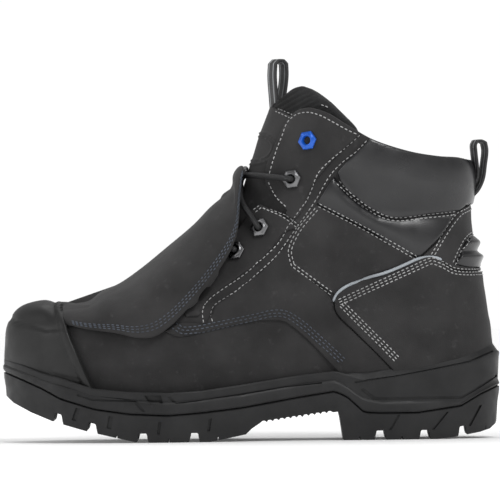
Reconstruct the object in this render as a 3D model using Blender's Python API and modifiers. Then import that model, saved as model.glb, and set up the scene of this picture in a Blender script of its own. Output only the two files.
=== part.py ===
"""Metatarsal guard boot, left foot, built from the sections of its last.

Metres, +Z up, the toe points along -X and the outer side faces -Y. The floor is Z = 0, and the
origin lies under the middle of the heel. Every side view place is given as (along, up): along is
the share of the boot's length from the heel's back to the toe tip, up is the share of the height.
"""

import bisect
import math

import bmesh
import bpy
from mathutils import Matrix, Vector
from mathutils.bvhtree import BVHTree

# Driving dimensions of the last and the boot.
LENGTH = 0.312
COLLAR_HEIGHT = 0.172
INSTEP_HEIGHT = 0.118
HEEL_HEIGHT = 0.035
HEEL_WIDTH = 0.074
BALL_WIDTH = 0.106
SOLE_HEEL_WIDTH = 0.083
SOLE_BALL_WIDTH = 0.116
HEEL_CENTRE = 0.2
INSTEP_UP = 0.686

# Walls, overlays and clearances.
GAP = 0.0003
WALL = 0.0024
COLLAR_WALL = 0.0075
OVERLAY = 0.0013
COUNTER_STEP = 0.0024
PAD_EDGE = 0.0011
PAD_BULGE = 0.0034
FLEX_BULGE = 0.0030
BUMPER_WALL = 0.0036
BUMPER_RIM = 0.0052
TOE_DOME = 0.0030
TONGUE_FACING = 0.0016
TONGUE_PAD = 0.0070
TONGUE_TOP_PAD = 0.0120
GUARD_THICKNESS = 0.0036
GUARD_FRONT_THICKNESS = 0.0020
GUARD_CLEARANCE = 0.0009
LACED_CLEARANCE = 0.0058
GUARD_FREE = 0.53
INSOLE_THICKNESS = 0.0045
LUG_DEPTH = 0.0058

# Fastenings, laces and loops.
EYELET_RADIUS = 0.0064
EYELET_TOP_RADIUS = 0.0048
EYELET_HEIGHT = 0.0022
EYELET_HOLE = 0.0024
LACE_RADIUS = 0.0019
LACE_LIFT = 0.0076
TONGUE_LIFT = 0.0004
BAR_LIFT = 0.0034
BAR_INSET = 0.0061
WEBBING_WIDTH = 0.013
LOOP_TURN = math.radians(22)

# Where one state of a form runs smoothly into the next, as shares of the length or the height.
INSTEP_RUN = (0.3, 0.6)
COLLAR_WALL_ALONG = (0.270, 0.215)
COLLAR_WALL_UP = (0.72, 0.86)
PAD_LOW = (0.83, 0.95)
PAD_LOW_ALONG = (0.26, 0.32)
PAD_HIGH = (1.03, 1.10)
PAD_HIGH_ALONG = (0.15, 0.27)
DOME_UP = (0.43, 0.475)
DOME_ALONG = (0.88, 0.915)
TONGUE_TOP_UP = (0.95, 1.15)
LACED_ALONG = (0.66, 0.57)
GUARD_FULL_ALONG = (0.83, 0.74)
STRAND_DROP = (0.45, 1.0)
STRAND_SINK = (0.17, 0.34)

# The lower edge and the upper edge of the collar's crescents, and how far back each one goes.
CRESCENT_LOW = ((0.171, 0.660), (0.319, 0.805), (0.359, 0.849))
CRESCENT_HIGH = ((0.20, 0.799), (0.245, 0.816), (0.309, 0.901), (0.331, 0.956))
CRESCENT_BACK = (0.150, 0.20)
CRESCENT_LEAST = 0.02

# How round the guard's section is over its ridge and at its flanks (1 is an ellipse).
GUARD_CROWN = 0.8
GUARD_FLANK = 0.9

# Sampling of the round forms, and how blunt the heel and toe ends are (1 is an ellipse).
AROUND = 28
GUARD_ACROSS = 10
BLUNT = 0.85
CUTTER_REACH = 0.012
WIDE = 0.12
BELOW_FLOOR = -0.02
TREAD_FLOOR = -0.03
GROUND_UP = -0.03
PAST_ENDS = 0.05
LINE_SPARE = 0.06
BED_STEPS = 11
ROOF_UP = 1.7
THROAT_FRONT = (0.66, 0.70)
ROOF_FRONT = 0.68

# Search for a place on the last: where it starts, its step and its lowest and highest rows.
SEARCH_TURN = 0.75
SEARCH_ROW = 10.5
SEARCH_STEP = 0.6
LOWEST_ROW = 6.0
TOP_ROWS = 1.2

# The last, from below the feather line to above the collar. Each section is a closed ring in the
# plane through its back point and its front point. Half widths are taken at the heel, the waist,
# the ball and the toe of the ring, as shares of the heel width and of the ball width.
LAST_COLUMNS = ("back", "back_up", "front", "front_up", "heel", "waist", "ball", "toe")
LAST = (
    (0.038, 0.102, 0.964, 0.065, 0.425, 0.299, 0.420, 0.340),
    (0.022, 0.284, 0.984, 0.266, 0.500, 0.349, 0.500, 0.406),
    (0.024, 0.375, 0.984, 0.357, 0.500, 0.349, 0.491, 0.406),
    (0.026, 0.415, 0.980, 0.420, 0.496, 0.349, 0.466, 0.387),
    (0.029, 0.442, 0.964, 0.459, 0.491, 0.352, 0.440, 0.347),
    (0.031, 0.466, 0.924, 0.483, 0.486, 0.355, 0.416, 0.302),
    (0.035, 0.520, 0.878, 0.4835, 0.470, 0.360, 0.392, 0.272),
    (0.038, 0.555, 0.821, 0.491, 0.459, 0.363, 0.377, 0.255),
    (0.040, 0.592, 0.757, 0.540, 0.446, 0.363, 0.368, 0.250),
    (0.042, 0.630, 0.685, 0.599, 0.426, 0.361, 0.363, 0.245),
    (0.048, 0.677, 0.620, 0.680, 0.399, 0.358, 0.358, 0.241),
    (0.058, 0.787, 0.542, 0.840, 0.372, 0.363, 0.349, 0.231),
    (0.058, 0.929, 0.504, 1.022, 0.405, 0.406, 0.368, 0.236),
    (0.060, 0.998, 0.488, 1.112, 0.419, 0.425, 0.387, 0.245),
    (0.066, 1.049, 0.466, 1.215, 0.419, 0.429, 0.396, 0.255),
    (0.074, 1.104, 0.444, 1.330, 0.419, 0.429, 0.396, 0.255),
)
STATIONS = (0.12, 0.40, 0.68, 0.88)

# How far the middle of the foot swings to the inner side, as shares of the ball width.
SWING = (
    (0.0, 0.0),
    (0.2, 0.0),
    (0.42, -0.033),
    (0.6, -0.028),
    (0.75, 0.0),
    (0.88, 0.033),
    (1.0, 0.066),
)

# The foot bed: along, and height as a share of the heel height.
BED = (
    (-0.05, 1.0),
    (0.30, 0.98),
    (0.36, 0.96),
    (0.42, 0.88),
    (0.55, 0.70),
    (0.66, 0.62),
    (0.75, 0.64),
    (0.83, 0.78),
    (0.90, 1.02),
    (0.96, 1.25),
    (1.05, 1.55),
)

# Lines on the side of the sole, all as shares of the height: the joint between outsole and
# midsole, the rib above it, the lip of the heel cup and the rim where the upper goes in.
SOLE_COLUMNS = ("along", "parting", "rib", "lip", "rim")
SOLE_LINES = (
    (0.002, 0.193, 0.210, 0.312, 0.360),
    (0.042, 0.161, 0.171, 0.291, 0.342),
    (0.080, 0.121, 0.135, 0.270, 0.321),
    (0.169, 0.098, 0.132, 0.239, 0.277),
    (0.239, 0.098, 0.131, 0.220, 0.253),
    (0.275, 0.101, 0.145, 0.214, 0.243),
    (0.309, 0.158, 0.190, 0.232, 0.244),
    (0.333, 0.178, 0.213, 0.243, 0.251),
    (0.400, 0.160, 0.201, 0.231, 0.239),
    (0.520, 0.123, 0.165, 0.198, 0.206),
    (0.600, 0.107, 0.148, 0.178, 0.186),
    (0.667, 0.098, 0.140, 0.172, 0.180),
    (0.745, 0.105, 0.149, 0.177, 0.185),
    (0.815, 0.124, 0.168, 0.189, 0.197),
    (0.882, 0.162, 0.205, 0.229, 0.237),
    (0.920, 0.200, 0.229, 0.248, 0.256),
    (0.960, 0.232, 0.257, 0.278, 0.286),
    (1.000, 0.262, 0.284, 0.302, 0.310),
)

# Plan of the sole: half widths at the stations, the first a share of the sole's heel width and
# the others of its ball width.
SOLE_PLAN = (0.49, 0.36, 0.50, 0.425)

# How far each line of the sole stands out from its plan, at the heel's back and elsewhere.
SOLE_STEPS = (
    ("ground", -0.0035, -0.0035),
    ("parting", -0.0004, -0.0004),
    ("rib", -0.0016, -0.0012),
    ("lip", 0.0, -0.0004),
    ("rim", -0.0055, -0.0018),
)
HEEL_CUP_END = 0.30
HEEL_CUP_START = 0.1
CUT_SPARE = {"parting": 0.0012, "rim": 0.002}

# The tread seen from the side, and the grooves across it as (middle, width).
TREAD = (
    (-0.02, 0.11),
    (0.002, 0.083),
    (0.010, 0.052),
    (0.022, 0.034),
    (0.042, 0.023),
    (0.068, 0.015),
    (0.100, 0.006),
    (0.130, 0.0),
    (0.317, 0.0),
    (0.3235, 0.078),
    (0.327, 0.104),
    (0.400, 0.087),
    (0.484, 0.066),
    (0.500, 0.047),
    (0.512, 0.026),
    (0.556, 0.010),
    (0.585, 0.0),
    (0.726, 0.0),
    (0.765, 0.016),
    (0.805, 0.033),
    (0.833, 0.045),
    (0.873, 0.066),
    (0.900, 0.081),
    (0.942, 0.112),
    (0.978, 0.146),
    (0.994, 0.171),
    (1.02, 0.23),
)
GROOVES = (
    (0.078, 0.018),
    (0.154, 0.024),
    (0.243, 0.024),
    (0.615, 0.022),
    (0.718, 0.024),
    (0.819, 0.022),
    (0.887, 0.020),
)

# The edge of the upper from the throat over the collar to the heel's back, seen from the side.
TOP_LINE = (
    (0.637, 0.667),
    (0.606, 0.645),
    (0.574, 0.666),
    (0.540, 0.724),
    (0.518, 0.774),
    (0.502, 0.825),
    (0.476, 0.857),
    (0.430, 0.814),
    (0.424, 0.836),
    (0.466, 0.937),
    (0.464, 0.992),
    (0.444, 1.082),
    (0.416, 1.173),
    (0.400, 1.198),
    (0.378, 1.207),
    (0.345, 1.190),
    (0.301, 1.141),
    (0.251, 1.089),
    (0.175, 1.044),
    (0.118, 1.027),
    (0.082, 1.022),
    (0.040, 0.995),
)

# Side outlines of the pieces that lie on the upper.
HEEL_COUNTER = (
    (0.190, 0.16),
    (0.199, 0.214),
    (0.215, 0.251),
    (0.291, 0.393),
    (0.329, 0.468),
    (0.332, 0.497),
    (0.327, 0.526),
    (0.305, 0.555),
    (0.238, 0.605),
    (0.171, 0.647),
    (0.150, 0.658),
    (0.133, 0.659),
    (0.117, 0.637),
    (0.104, 0.620),
    (0.088, 0.609),
    (0.068, 0.605),
    (-0.02, 0.612),
    (-0.02, 0.16),
)
QUARTER = (
    (0.671, 0.402),
    (0.645, 0.383),
    (0.600, 0.397),
    (0.476, 0.438),
    (0.434, 0.434),
    (0.400, 0.389),
    (0.327, 0.250),
    (0.290, 0.170),
    (0.190, 0.170),
    (0.215, 0.251),
    (0.291, 0.393),
    (0.329, 0.468),
    (0.335, 0.505),
    (0.400, 0.615),
    (0.422, 0.659),
    (0.420, 0.707),
    (0.409, 0.757),
    (0.420, 0.721),
    (0.444, 0.671),
    (0.474, 0.615),
    (0.525, 0.551),
    (0.556, 0.510),
    (0.576, 0.483),
    (0.580, 0.459),
    (0.590, 0.425),
    (0.640, 0.430),
)
EYESTAY_UPPER = (
    (0.260, 1.140),
    (0.275, 1.112),
    (0.324, 1.033),
    (0.351, 0.978),
    (0.367, 0.942),
    (0.387, 0.870),
    (0.398, 0.826),
    (0.408, 0.803),
    (0.422, 0.812),
    (0.430, 0.835),
    (0.446, 0.882),
    (0.476, 0.963),
    (0.500, 1.20),
    (0.420, 1.30),
    (0.300, 1.24),
)
EYESTAY_LOWER = (
    (0.476, 0.864),
    (0.430, 0.811),
    (0.404, 0.772),
    (0.428, 0.758),
    (0.456, 0.698),
    (0.487, 0.642),
    (0.528, 0.589),
    (0.566, 0.542),
    (0.586, 0.515),
    (0.594, 0.483),
    (0.604, 0.455),
    (0.629, 0.455),
    (0.649, 0.551),
    (0.645, 0.680),
    (0.560, 0.800),
)
COLLAR_PAD = (
    (0.257, 1.093),
    (0.303, 1.014),
    (0.323, 0.974),
    (0.319, 0.945),
    (0.305, 0.908),
    (0.273, 0.857),
    (0.243, 0.823),
    (0.218, 0.806),
    (0.191, 0.806),
    (0.135, 0.819),
    (0.080, 0.829),
    (0.070, 0.849),
    (-0.02, 0.859),
    (-0.02, 1.20),
    (0.20, 1.20),
)
COLLAR_CRESCENT = (
    (0.331, 0.956),
    (0.323, 0.938),
    (0.309, 0.901),
    (0.277, 0.850),
    (0.245, 0.816),
    (0.218, 0.799),
    (0.191, 0.799),
    (0.135, 0.812),
    (0.092, 0.817),
    (0.122, 0.737),
    (0.161, 0.661),
    (0.171, 0.660),
    (0.319, 0.805),
    (0.359, 0.849),
)
BACK_STAY = (
    (-0.02, 0.856),
    (0.054, 0.852),
    (0.074, 0.838),
    (0.088, 0.804),
    (0.120, 0.726),
    (0.157, 0.661),
    (0.133, 0.661),
    (0.116, 0.639),
    (0.102, 0.622),
    (0.086, 0.613),
    (0.066, 0.608),
    (-0.02, 0.614),
)
FLEX_PAD = (
    (-0.02, 0.739),
    (0.060, 0.734),
    (0.074, 0.703),
    (0.082, 0.667),
    (0.092, 0.632),
    (0.066, 0.622),
    (-0.02, 0.626),
)
BUMPER = (
    (0.886, 0.556),
    (0.880, 0.508),
    (0.869, 0.439),
    (0.845, 0.329),
    (0.811, 0.190),
    (1.05, 0.190),
    (1.05, 0.60),
    (0.886, 0.60),
)
BUMPER_RIM_LINE = (
    (0.906, 0.60),
    (0.906, 0.556),
    (0.896, 0.501),
    (0.886, 0.439),
    (0.861, 0.322),
    (0.827, 0.190),
    (0.76, 0.190),
    (0.84, 0.60),
)
TONGUE_FACING_OUTLINE = (
    (0.490, 1.240),
    (0.458, 1.217),
    (0.414, 1.175),
    (0.394, 1.158),
    (0.400, 1.056),
    (0.414, 0.929),
    (0.432, 0.820),
    (0.476, 0.708),
    (0.524, 0.629),
    (0.590, 0.568),
    (0.645, 0.551),
    (0.700, 0.600),
    (0.640, 0.800),
)
TONGUE_PAD_OUTLINE = (
    (0.490, 1.235),
    (0.456, 1.248),
    (0.438, 1.272),
    (0.420, 1.290),
    (0.404, 1.296),
    (0.386, 1.281),
    (0.363, 1.253),
    (0.339, 1.220),
    (0.315, 1.183),
    (0.290, 1.140),
    (0.277, 1.100),
    (0.295, 1.020),
    (0.325, 0.927),
    (0.375, 0.793),
    (0.436, 0.682),
    (0.500, 0.606),
    (0.570, 0.549),
    (0.641, 0.525),
    (0.700, 0.580),
    (0.640, 0.800),
)

# The metatarsal guard, from the toe to its rolled tip: its ridge and its lower edge seen from the
# side, and the half width at that edge as a share of the ball width.
GUARD_COLUMNS = ("ridge", "ridge_up", "edge", "edge_up", "half")
GUARD = (
    (0.874, 0.503, 0.858, 0.425, 0.43),
    (0.849, 0.508, 0.837, 0.415, 0.47),
    (0.825, 0.516, 0.801, 0.405, 0.50),
    (0.801, 0.551, 0.765, 0.395, 0.53),
    (0.761, 0.582, 0.727, 0.380, 0.545),
    (0.713, 0.640, 0.691, 0.385, 0.545),
    (0.665, 0.708, 0.657, 0.425, 0.525),
    (0.616, 0.783, 0.616, 0.500, 0.485),
    (0.580, 0.849, 0.578, 0.580, 0.43),
    (0.548, 0.899, 0.544, 0.670, 0.39),
    (0.541, 0.935, 0.527, 0.739, 0.36),
    (0.538, 0.968, 0.521, 0.800, 0.32),
    (0.531, 0.999, 0.520, 0.875, 0.26),
    (0.519, 1.012, 0.515, 0.965, 0.18),
    (0.508, 1.010, 0.508, 0.990, 0.12),
)

EYELETS = ((0.382, 1.088), (0.414, 0.949), (0.480, 0.773), (0.528, 0.690))
EYELET_TILT = math.radians(8)
EYELET_FLAT = math.radians(30)

# Webbing loops seen edge on, before they are turned: outer outline, then the finger hole.
TONGUE_LOOP = (
    (0.450, 1.186),
    (0.454, 1.240),
    (0.458, 1.330),
    (0.456, 1.378),
    (0.448, 1.392),
    (0.430, 1.390),
    (0.422, 1.376),
    (0.421, 1.330),
    (0.428, 1.260),
    (0.436, 1.220),
    (0.440, 1.190),
)
TONGUE_LOOP_HOLE = (
    (0.441, 1.270),
    (0.4455, 1.330),
    (0.445, 1.372),
    (0.434, 1.372),
    (0.4335, 1.330),
    (0.437, 1.270),
)
HEEL_LOOP = (
    (0.070, 0.855),
    (0.044, 0.890),
    (0.032, 0.928),
    (0.024, 0.980),
    (0.018, 1.050),
    (0.020, 1.078),
    (0.030, 1.090),
    (0.046, 1.091),
    (0.054, 1.076),
    (0.054, 1.050),
    (0.050, 0.985),
    (0.050, 0.960),
    (0.056, 0.930),
    (0.070, 0.910),
)
HEEL_LOOP_HOLE = (
    (0.036, 0.985),
    (0.041, 1.040),
    (0.041, 1.070),
    (0.034, 1.075),
    (0.0295, 1.050),
    (0.031, 1.010),
)


def smooth_through(places, values, place):
    """Smooth curve through values at rising places, held at both ends."""
    last = len(places) - 1
    left = min(max(bisect.bisect_right(places, place) - 1, 0), last - 1)
    span = places[left + 1] - places[left]
    share = min(max((place - places[left]) / span, 0.0), 1.0)

    def slope(index):
        before = max(index - 1, 0)
        after = min(index + 1, last)
        return (values[after] - values[before]) / (places[after] - places[before]) * span

    square = share * share
    cube = square * share
    return (
        (2 * cube - 3 * square + 1) * values[left]
        + (cube - 2 * square + share) * slope(left)
        + (3 * square - 2 * cube) * values[left + 1]
        + (cube - square) * slope(left + 1)
    )


def straight_through(table, place):
    """Straight runs through the (place, value) pairs of a table with rising places."""
    places = [row[0] for row in table]
    left = min(max(bisect.bisect_right(places, place) - 1, 0), len(table) - 2)
    share = (place - places[left]) / (places[left + 1] - places[left])
    return table[left][1] + (table[left + 1][1] - table[left][1]) * share


def ease(start, end, place):
    """0 before start, 1 after end, smooth between; start may be larger than end."""
    share = min(max((place - start) / (end - start), 0.0), 1.0)
    return share * share * (3 - 2 * share)


def between(levels, places, place):
    """Level that runs smoothly from the first to the second as place passes both places."""
    return levels[0] + (levels[1] - levels[0]) * ease(*places, place)


def height_at(along):
    """Full height of the side view, which follows the collar at the back and the instep in front."""
    return COLLAR_HEIGHT + (INSTEP_HEIGHT / INSTEP_UP - COLLAR_HEIGHT) * ease(*INSTEP_RUN, along)


def side_point(along, up):
    """X and Z of a place in the side view."""
    return (HEEL_CENTRE - along) * LENGTH, up * height_at(along)


def swing(along):
    places = [row[0] for row in SWING]
    shares = [row[1] for row in SWING]
    return smooth_through(places, shares, along) * BALL_WIDTH


def blunt_sine(turn):
    return abs(math.sin(turn)) ** BLUNT


def half_width(halves, share):
    """Width factor of a ring whose half widths at the stations are given."""
    factors = [
        half / (2 * math.sqrt(station * (1 - station))) ** BLUNT
        for half, station in zip(halves, STATIONS)
    ]
    return smooth_through(STATIONS, factors, share)


def ring_point(back, front, halves, turn):
    """Point of a ring: turn 0 is the back, pi the front, and the outer side comes first."""
    share = (1 - math.cos(turn)) / 2
    along = back[0] + (front[0] - back[0]) * share
    up = back[1] + (front[1] - back[1]) * share
    x, z = side_point(along, up)
    side = -1 if math.sin(turn) > 0 else 1
    return Vector((x, side * half_width(halves, share) * blunt_sine(turn) + swing(along), z))


def last_point(turn, row):
    """Point of the last at a turn round the foot and a row between its sections."""
    rows = list(range(len(LAST)))
    cell = {
        name: smooth_through(rows, [section[column] for section in LAST], row)
        for column, name in enumerate(LAST_COLUMNS)
    }
    halves = (
        cell["heel"] * HEEL_WIDTH,
        cell["waist"] * BALL_WIDTH,
        cell["ball"] * BALL_WIDTH,
        cell["toe"] * BALL_WIDTH,
    )
    back = (cell["back"], cell["back_up"])
    front = (cell["front"], cell["front_up"])
    return ring_point(back, front, halves, turn)


def last_normal(turn, row):
    """Outward normal of the last, from two small steps."""
    low = max(row - 0.05, 0)
    high = min(row + 0.05, len(LAST) - 1)
    round_step = last_point(turn + 0.01, row) - last_point(turn - 0.01, row)
    up_step = last_point(turn, high) - last_point(turn, low)
    return up_step.cross(round_step).normalized()


TURNS = [2 * math.pi * step / AROUND for step in range(AROUND)]
GRID = [
    [(last_point(turn, row), last_normal(turn, row)) for turn in TURNS]
    for row in range(len(LAST))
]


def along_up(point):
    """Side view place of a point."""
    along = HEEL_CENTRE - point.x / LENGTH
    return along, point.z / height_at(along)


def collection(name):
    made = bpy.data.collections.new(name)
    bpy.context.scene.collection.children.link(made)
    return made


def material(name, colour, roughness, metallic=0.0):
    made = bpy.data.materials.new(name)
    made.use_nodes = True
    shader = made.node_tree.nodes["Principled BSDF"]
    shader.inputs["Base Color"].default_value = (*colour, 1.0)
    shader.inputs["Roughness"].default_value = roughness
    shader.inputs["Metallic"].default_value = metallic
    made.diffuse_color = (*colour, 1.0)
    return made


for startup_object in list(bpy.data.objects):
    bpy.data.objects.remove(startup_object)

BOOT = collection("metatarsal_guard_boot")
CUTTERS = collection("cutters")
NUBUCK = material("nubuck", (0.040, 0.040, 0.042), 0.80)
SMOOTH_LEATHER = material("smooth_leather", (0.030, 0.030, 0.032), 0.38)
SOLE_RUBBER = material("sole_rubber", (0.022, 0.022, 0.023), 0.62)
BUMPER_RUBBER = material("bumper_rubber", (0.026, 0.026, 0.027), 0.5)
MESH_LINING = material("mesh_lining", (0.028, 0.028, 0.030), 0.85)
INSOLE_FELT = material("insole_felt", (0.050, 0.050, 0.053), 0.9)
LACE_CORD = material("lace_cord", (0.012, 0.012, 0.013), 0.7)
WEBBING = material("webbing", (0.020, 0.020, 0.022), 0.75)
GUNMETAL = material("gunmetal", (0.28, 0.27, 0.25), 0.35, 1.0)
BLUE_METAL = material("blue_metal", (0.02, 0.15, 0.62), 0.35, 0.6)


def as_cutter(piece):
    piece.hide_render = True
    piece.display_type = "WIRE"
    return piece


def add_object(name, mesh, finish=None):
    """Object in the boot's collection, or in the cutters' collection when it has no finish."""
    piece = bpy.data.objects.new(name, mesh)
    if finish is None:
        CUTTERS.objects.link(piece)
        return as_cutter(piece)
    mesh.materials.append(finish)
    mesh.shade_smooth()
    BOOT.objects.link(piece)
    return piece


def close_mesh(name, vertices, faces):
    """Mesh with merged doubles and outward faces."""
    mesh = bpy.data.meshes.new(name)
    mesh.from_pydata([tuple(vertex) for vertex in vertices], [], faces)
    shape = bmesh.new()
    shape.from_mesh(mesh)
    bmesh.ops.remove_doubles(shape, verts=shape.verts, dist=1e-6)
    bmesh.ops.recalc_face_normals(shape, faces=shape.faces)
    shape.to_mesh(mesh)
    shape.free()
    return mesh


def cap_across(first, count):
    """Faces that close a ring of count points by strips from side to side."""
    faces = [(first, first + 1, first + count - 1)]
    half = count // 2
    for step in range(1, half - 1):
        faces.append((first + step, first + step + 1, first + count - step - 1, first + count - step))
    faces.append((first + half - 1, first + half, first + half + 1))
    return faces


def loft_rings(name, rings):
    """Closed mesh through rings of equally many points, capped at both ends."""
    count = len(rings[0])
    vertices = [point for ring in rings for point in ring]
    faces = cap_across(0, count) + cap_across((len(rings) - 1) * count, count)
    for level in range(len(rings) - 1):
        low = level * count
        for step in range(count):
            following = (step + 1) % count
            faces.append((low + step, low + following, low + count + following))
            faces.append((low + step, low + count + following, low + count + step))
    return close_mesh(name, vertices, faces)


def form(name, offset, finish=None, reach=0.0):
    """The last moved out along its normals by offset(along, up), longer at both ends by reach."""
    rings = [
        [point + normal * offset(*along_up(point)) for point, normal in row]
        for row in GRID
    ]
    if reach:
        rings.insert(0, [point - Vector((0, 0, reach)) for point in rings[0]])
        rings.append([point + Vector((0, 0, reach)) for point in rings[-1]])
    return add_object(name, loft_rings(name, rings), finish)


def even(value):
    """Offset that is the same all over the last."""
    return lambda along, up: value


def outline_points(table):
    return [side_point(along, up) for along, up in table]


def grow(points, distance):
    """Outline moved out by a distance, with its corners kept."""
    count = len(points)
    area = sum(
        points[index][0] * points[(index + 1) % count][1]
        - points[(index + 1) % count][0] * points[index][1]
        for index in range(count)
    )
    way = 1 if area > 0 else -1
    moved = []
    for index in range(count):
        here = Vector(points[index])
        before = (here - Vector(points[index - 1])).normalized()
        after = (Vector(points[(index + 1) % count]) - here).normalized()
        normal_before = Vector((before.y, -before.x)) * way
        normal_after = Vector((after.y, -after.x)) * way
        middle = (normal_before + normal_after).normalized()
        moved.append(here + middle * distance / max(middle.dot(normal_after), 0.4))
    return [tuple(point) for point in moved]


def flat_curve(name, outlines, half_depth):
    """Object of a filled flat curve in X and Y with half_depth on both sides."""
    curve = bpy.data.curves.new(name, "CURVE")
    curve.dimensions = "2D"
    curve.fill_mode = "BOTH"
    curve.extrude = half_depth
    for outline in outlines:
        spline = curve.splines.new("POLY")
        spline.points.add(len(outline) - 1)
        for point, place in zip(spline.points, outline):
            point.co = (place[0], place[1], 0, 1)
        spline.use_cyclic_u = True
    holder = bpy.data.objects.new(name, curve)
    bpy.context.scene.collection.objects.link(holder)
    return holder


def curve_to_object(holder, finish=None):
    """Closed mesh object of a curve object, in its place; the curve is removed."""
    bpy.context.view_layer.update()
    evaluated = holder.evaluated_get(bpy.context.evaluated_depsgraph_get())
    mesh = bpy.data.meshes.new_from_object(evaluated)
    name = holder.name
    placed = holder.matrix_world.copy()
    curve = holder.data
    bpy.data.objects.remove(holder)
    bpy.data.curves.remove(curve)
    shape = bmesh.new()
    shape.from_mesh(mesh)
    bmesh.ops.remove_doubles(shape, verts=shape.verts, dist=1e-6)
    bmesh.ops.recalc_face_normals(shape, faces=shape.faces)
    shape.to_mesh(mesh)
    shape.free()
    mesh.materials.clear()
    piece = add_object(name, mesh, finish)
    piece.matrix_world = placed
    return piece


def prism(name, outlines, low=-WIDE, high=WIDE, finish=None):
    """Solid with a side outline, and holes where more outlines are given, from Y low to high."""
    holder = flat_curve(name, outlines, (high - low) / 2)
    holder.rotation_euler = (math.radians(90), 0, 0)
    holder.location = (0, (low + high) / 2, 0)
    return curve_to_object(holder, finish)


def boolean(piece, cutter, operation):
    modifier = piece.modifiers.new(cutter.name, "BOOLEAN")
    modifier.operation = operation
    modifier.object = cutter
    return piece


def cut(piece, *cutters):
    for cutter in cutters:
        boolean(piece, cutter, "DIFFERENCE")
    return piece


def keep(piece, cutter):
    return boolean(piece, cutter, "INTERSECT")


def wall_offset(along, up):
    """Inner face of the upper: thicker where the collar is padded."""
    padded = ease(*COLLAR_WALL_ALONG, along) * ease(*COLLAR_WALL_UP, up)
    return -(WALL + (COLLAR_WALL - WALL) * padded)


def below_line(name, line, shift):
    """Prism below a side line of (along, up) pairs moved up by shift metres."""
    points = [(x, z + shift) for x, z in outline_points(line)]
    points += [(points[-1][0], BELOW_FLOOR), (points[0][0], BELOW_FLOOR)]
    return prism(name, [points])


def sole_line(name):
    """Pairs of along and height share for one line of the sole, past both ends."""
    column = SOLE_COLUMNS.index(name)
    pairs = [(row[0], row[column]) for row in SOLE_LINES]
    first = (-LINE_SPARE, pairs[0][1])
    last = (1 + LINE_SPARE, pairs[-1][1] + (pairs[-1][1] - pairs[-2][1]))
    return [first, *pairs, last]


def bed_height(along):
    return straight_through(BED, along) * HEEL_HEIGHT


def bed_prism(name, shift):
    """Everything below the foot bed moved up by shift."""
    steps = [-PAST_ENDS + (1 + 2 * PAST_ENDS) * step / BED_STEPS for step in range(BED_STEPS + 1)]
    points = [((HEEL_CENTRE - along) * LENGTH, bed_height(along) + shift) for along in steps]
    points += [(points[-1][0], BELOW_FLOOR), (points[0][0], BELOW_FLOOR)]
    return prism(name, [points])


# Shared cutters.
BARE_LAST = form("cut_bare_last", even(GAP), reach=CUTTER_REACH)
INSIDE = form("cut_inside", wall_offset, reach=CUTTER_REACH)
BELOW_RIM = below_line("cut_below_rim", sole_line("rim"), GAP)
BELOW_BED = bed_prism("cut_below_bed", 0.0)


def throat_prism():
    """Everything above the edge of the throat and the collar."""
    points = outline_points(TOP_LINE)
    back = side_point(-LINE_SPARE, TOP_LINE[-1][1])
    roof_back = side_point(-LINE_SPARE, ROOF_UP)
    roof_front = side_point(ROOF_FRONT, ROOF_UP)
    front = side_point(*THROAT_FRONT)
    return prism("cut_throat", [[*points, back, roof_back, roof_front, front]])


THROAT = throat_prism()


def form_tree(offset):
    """Search tree of the last moved out by an even offset."""
    rings = [[point + normal * offset for point, normal in row] for row in GRID]
    mesh = loft_rings("guide", rings)
    polygons = [tuple(face.vertices) for face in mesh.polygons]
    tree = BVHTree.FromPolygons([vertex.co for vertex in mesh.vertices], polygons)
    bpy.data.meshes.remove(mesh)
    return tree


def seat_lift(tree, point, normal):
    """How far an eyelet stands off its seat point so that its corners clear the eyestay."""
    side = Vector((0, 0, 1)).cross(normal).normalized()
    uphill = normal.cross(side)
    lift = 0.0
    for step in range(12):
        angle = math.tau * step / 12
        corner = point + (side * math.cos(angle) + uphill * math.sin(angle)) * EYELET_RADIUS
        _, _, _, distance = tree.ray_cast(corner + normal * EYELET_RADIUS, -normal)
        lift = max(lift, EYELET_RADIUS - distance)
    return lift


def eyelet_places():
    """Seat and outward normal of each eyelet, on the faceted eyestays, outer side first."""
    tree = form_tree(GAP + OVERLAY)
    places = []
    for along, up in EYELETS:
        x, z = side_point(along, up)
        for side in (-1, 1):
            point, normal, _, _ = tree.ray_cast(Vector((x, side, z)), Vector((0, -side, 0)))
            places.append((point + normal * seat_lift(tree, point, normal), normal))
    return places


EYELET_PLACES = eyelet_places()
HOLE_REACH = 0.005


def facing(point, normal, turn=0.0):
    """Matrix that stands a piece on a point, its Z along the normal and its Y uphill."""
    side = Vector((0, 0, 1)).cross(normal).normalized()
    uphill = normal.cross(side)
    turned = Matrix((side, uphill, normal)).transposed().to_4x4() @ Matrix.Rotation(turn, 4, "Z")
    return Matrix.Translation(point) @ turned


def round_solid(name, sides, low_radius, high_radius, depth, finish=None):
    """Cone or cylinder that stands on its own origin."""
    mesh = bpy.data.meshes.new(name)
    shape = bmesh.new()
    bmesh.ops.create_cone(
        shape,
        cap_ends=True,
        segments=sides,
        radius1=low_radius,
        radius2=high_radius,
        depth=depth,
        matrix=Matrix.Translation((0, 0, depth / 2)),
    )
    shape.to_mesh(mesh)
    shape.free()
    return add_object(name, mesh, finish)


def eyelet_holes():
    holes = []
    for index, (point, normal) in enumerate(EYELET_PLACES):
        hole = round_solid(f"cut_eyelet_{index}", 6, EYELET_HOLE, EYELET_HOLE, 2 * HOLE_REACH)
        hole.matrix_world = facing(point - normal * HOLE_REACH, normal)
        holes.append(hole)
    return holes


HOLES = eyelet_holes()


def build_upper():
    """One hollow wall, open at the collar, at the throat and underneath."""
    upper = form("upper", even(0.0), NUBUCK)
    cut(upper, INSIDE, THROAT, BELOW_BED)
    return cut(upper, *HOLES)


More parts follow.
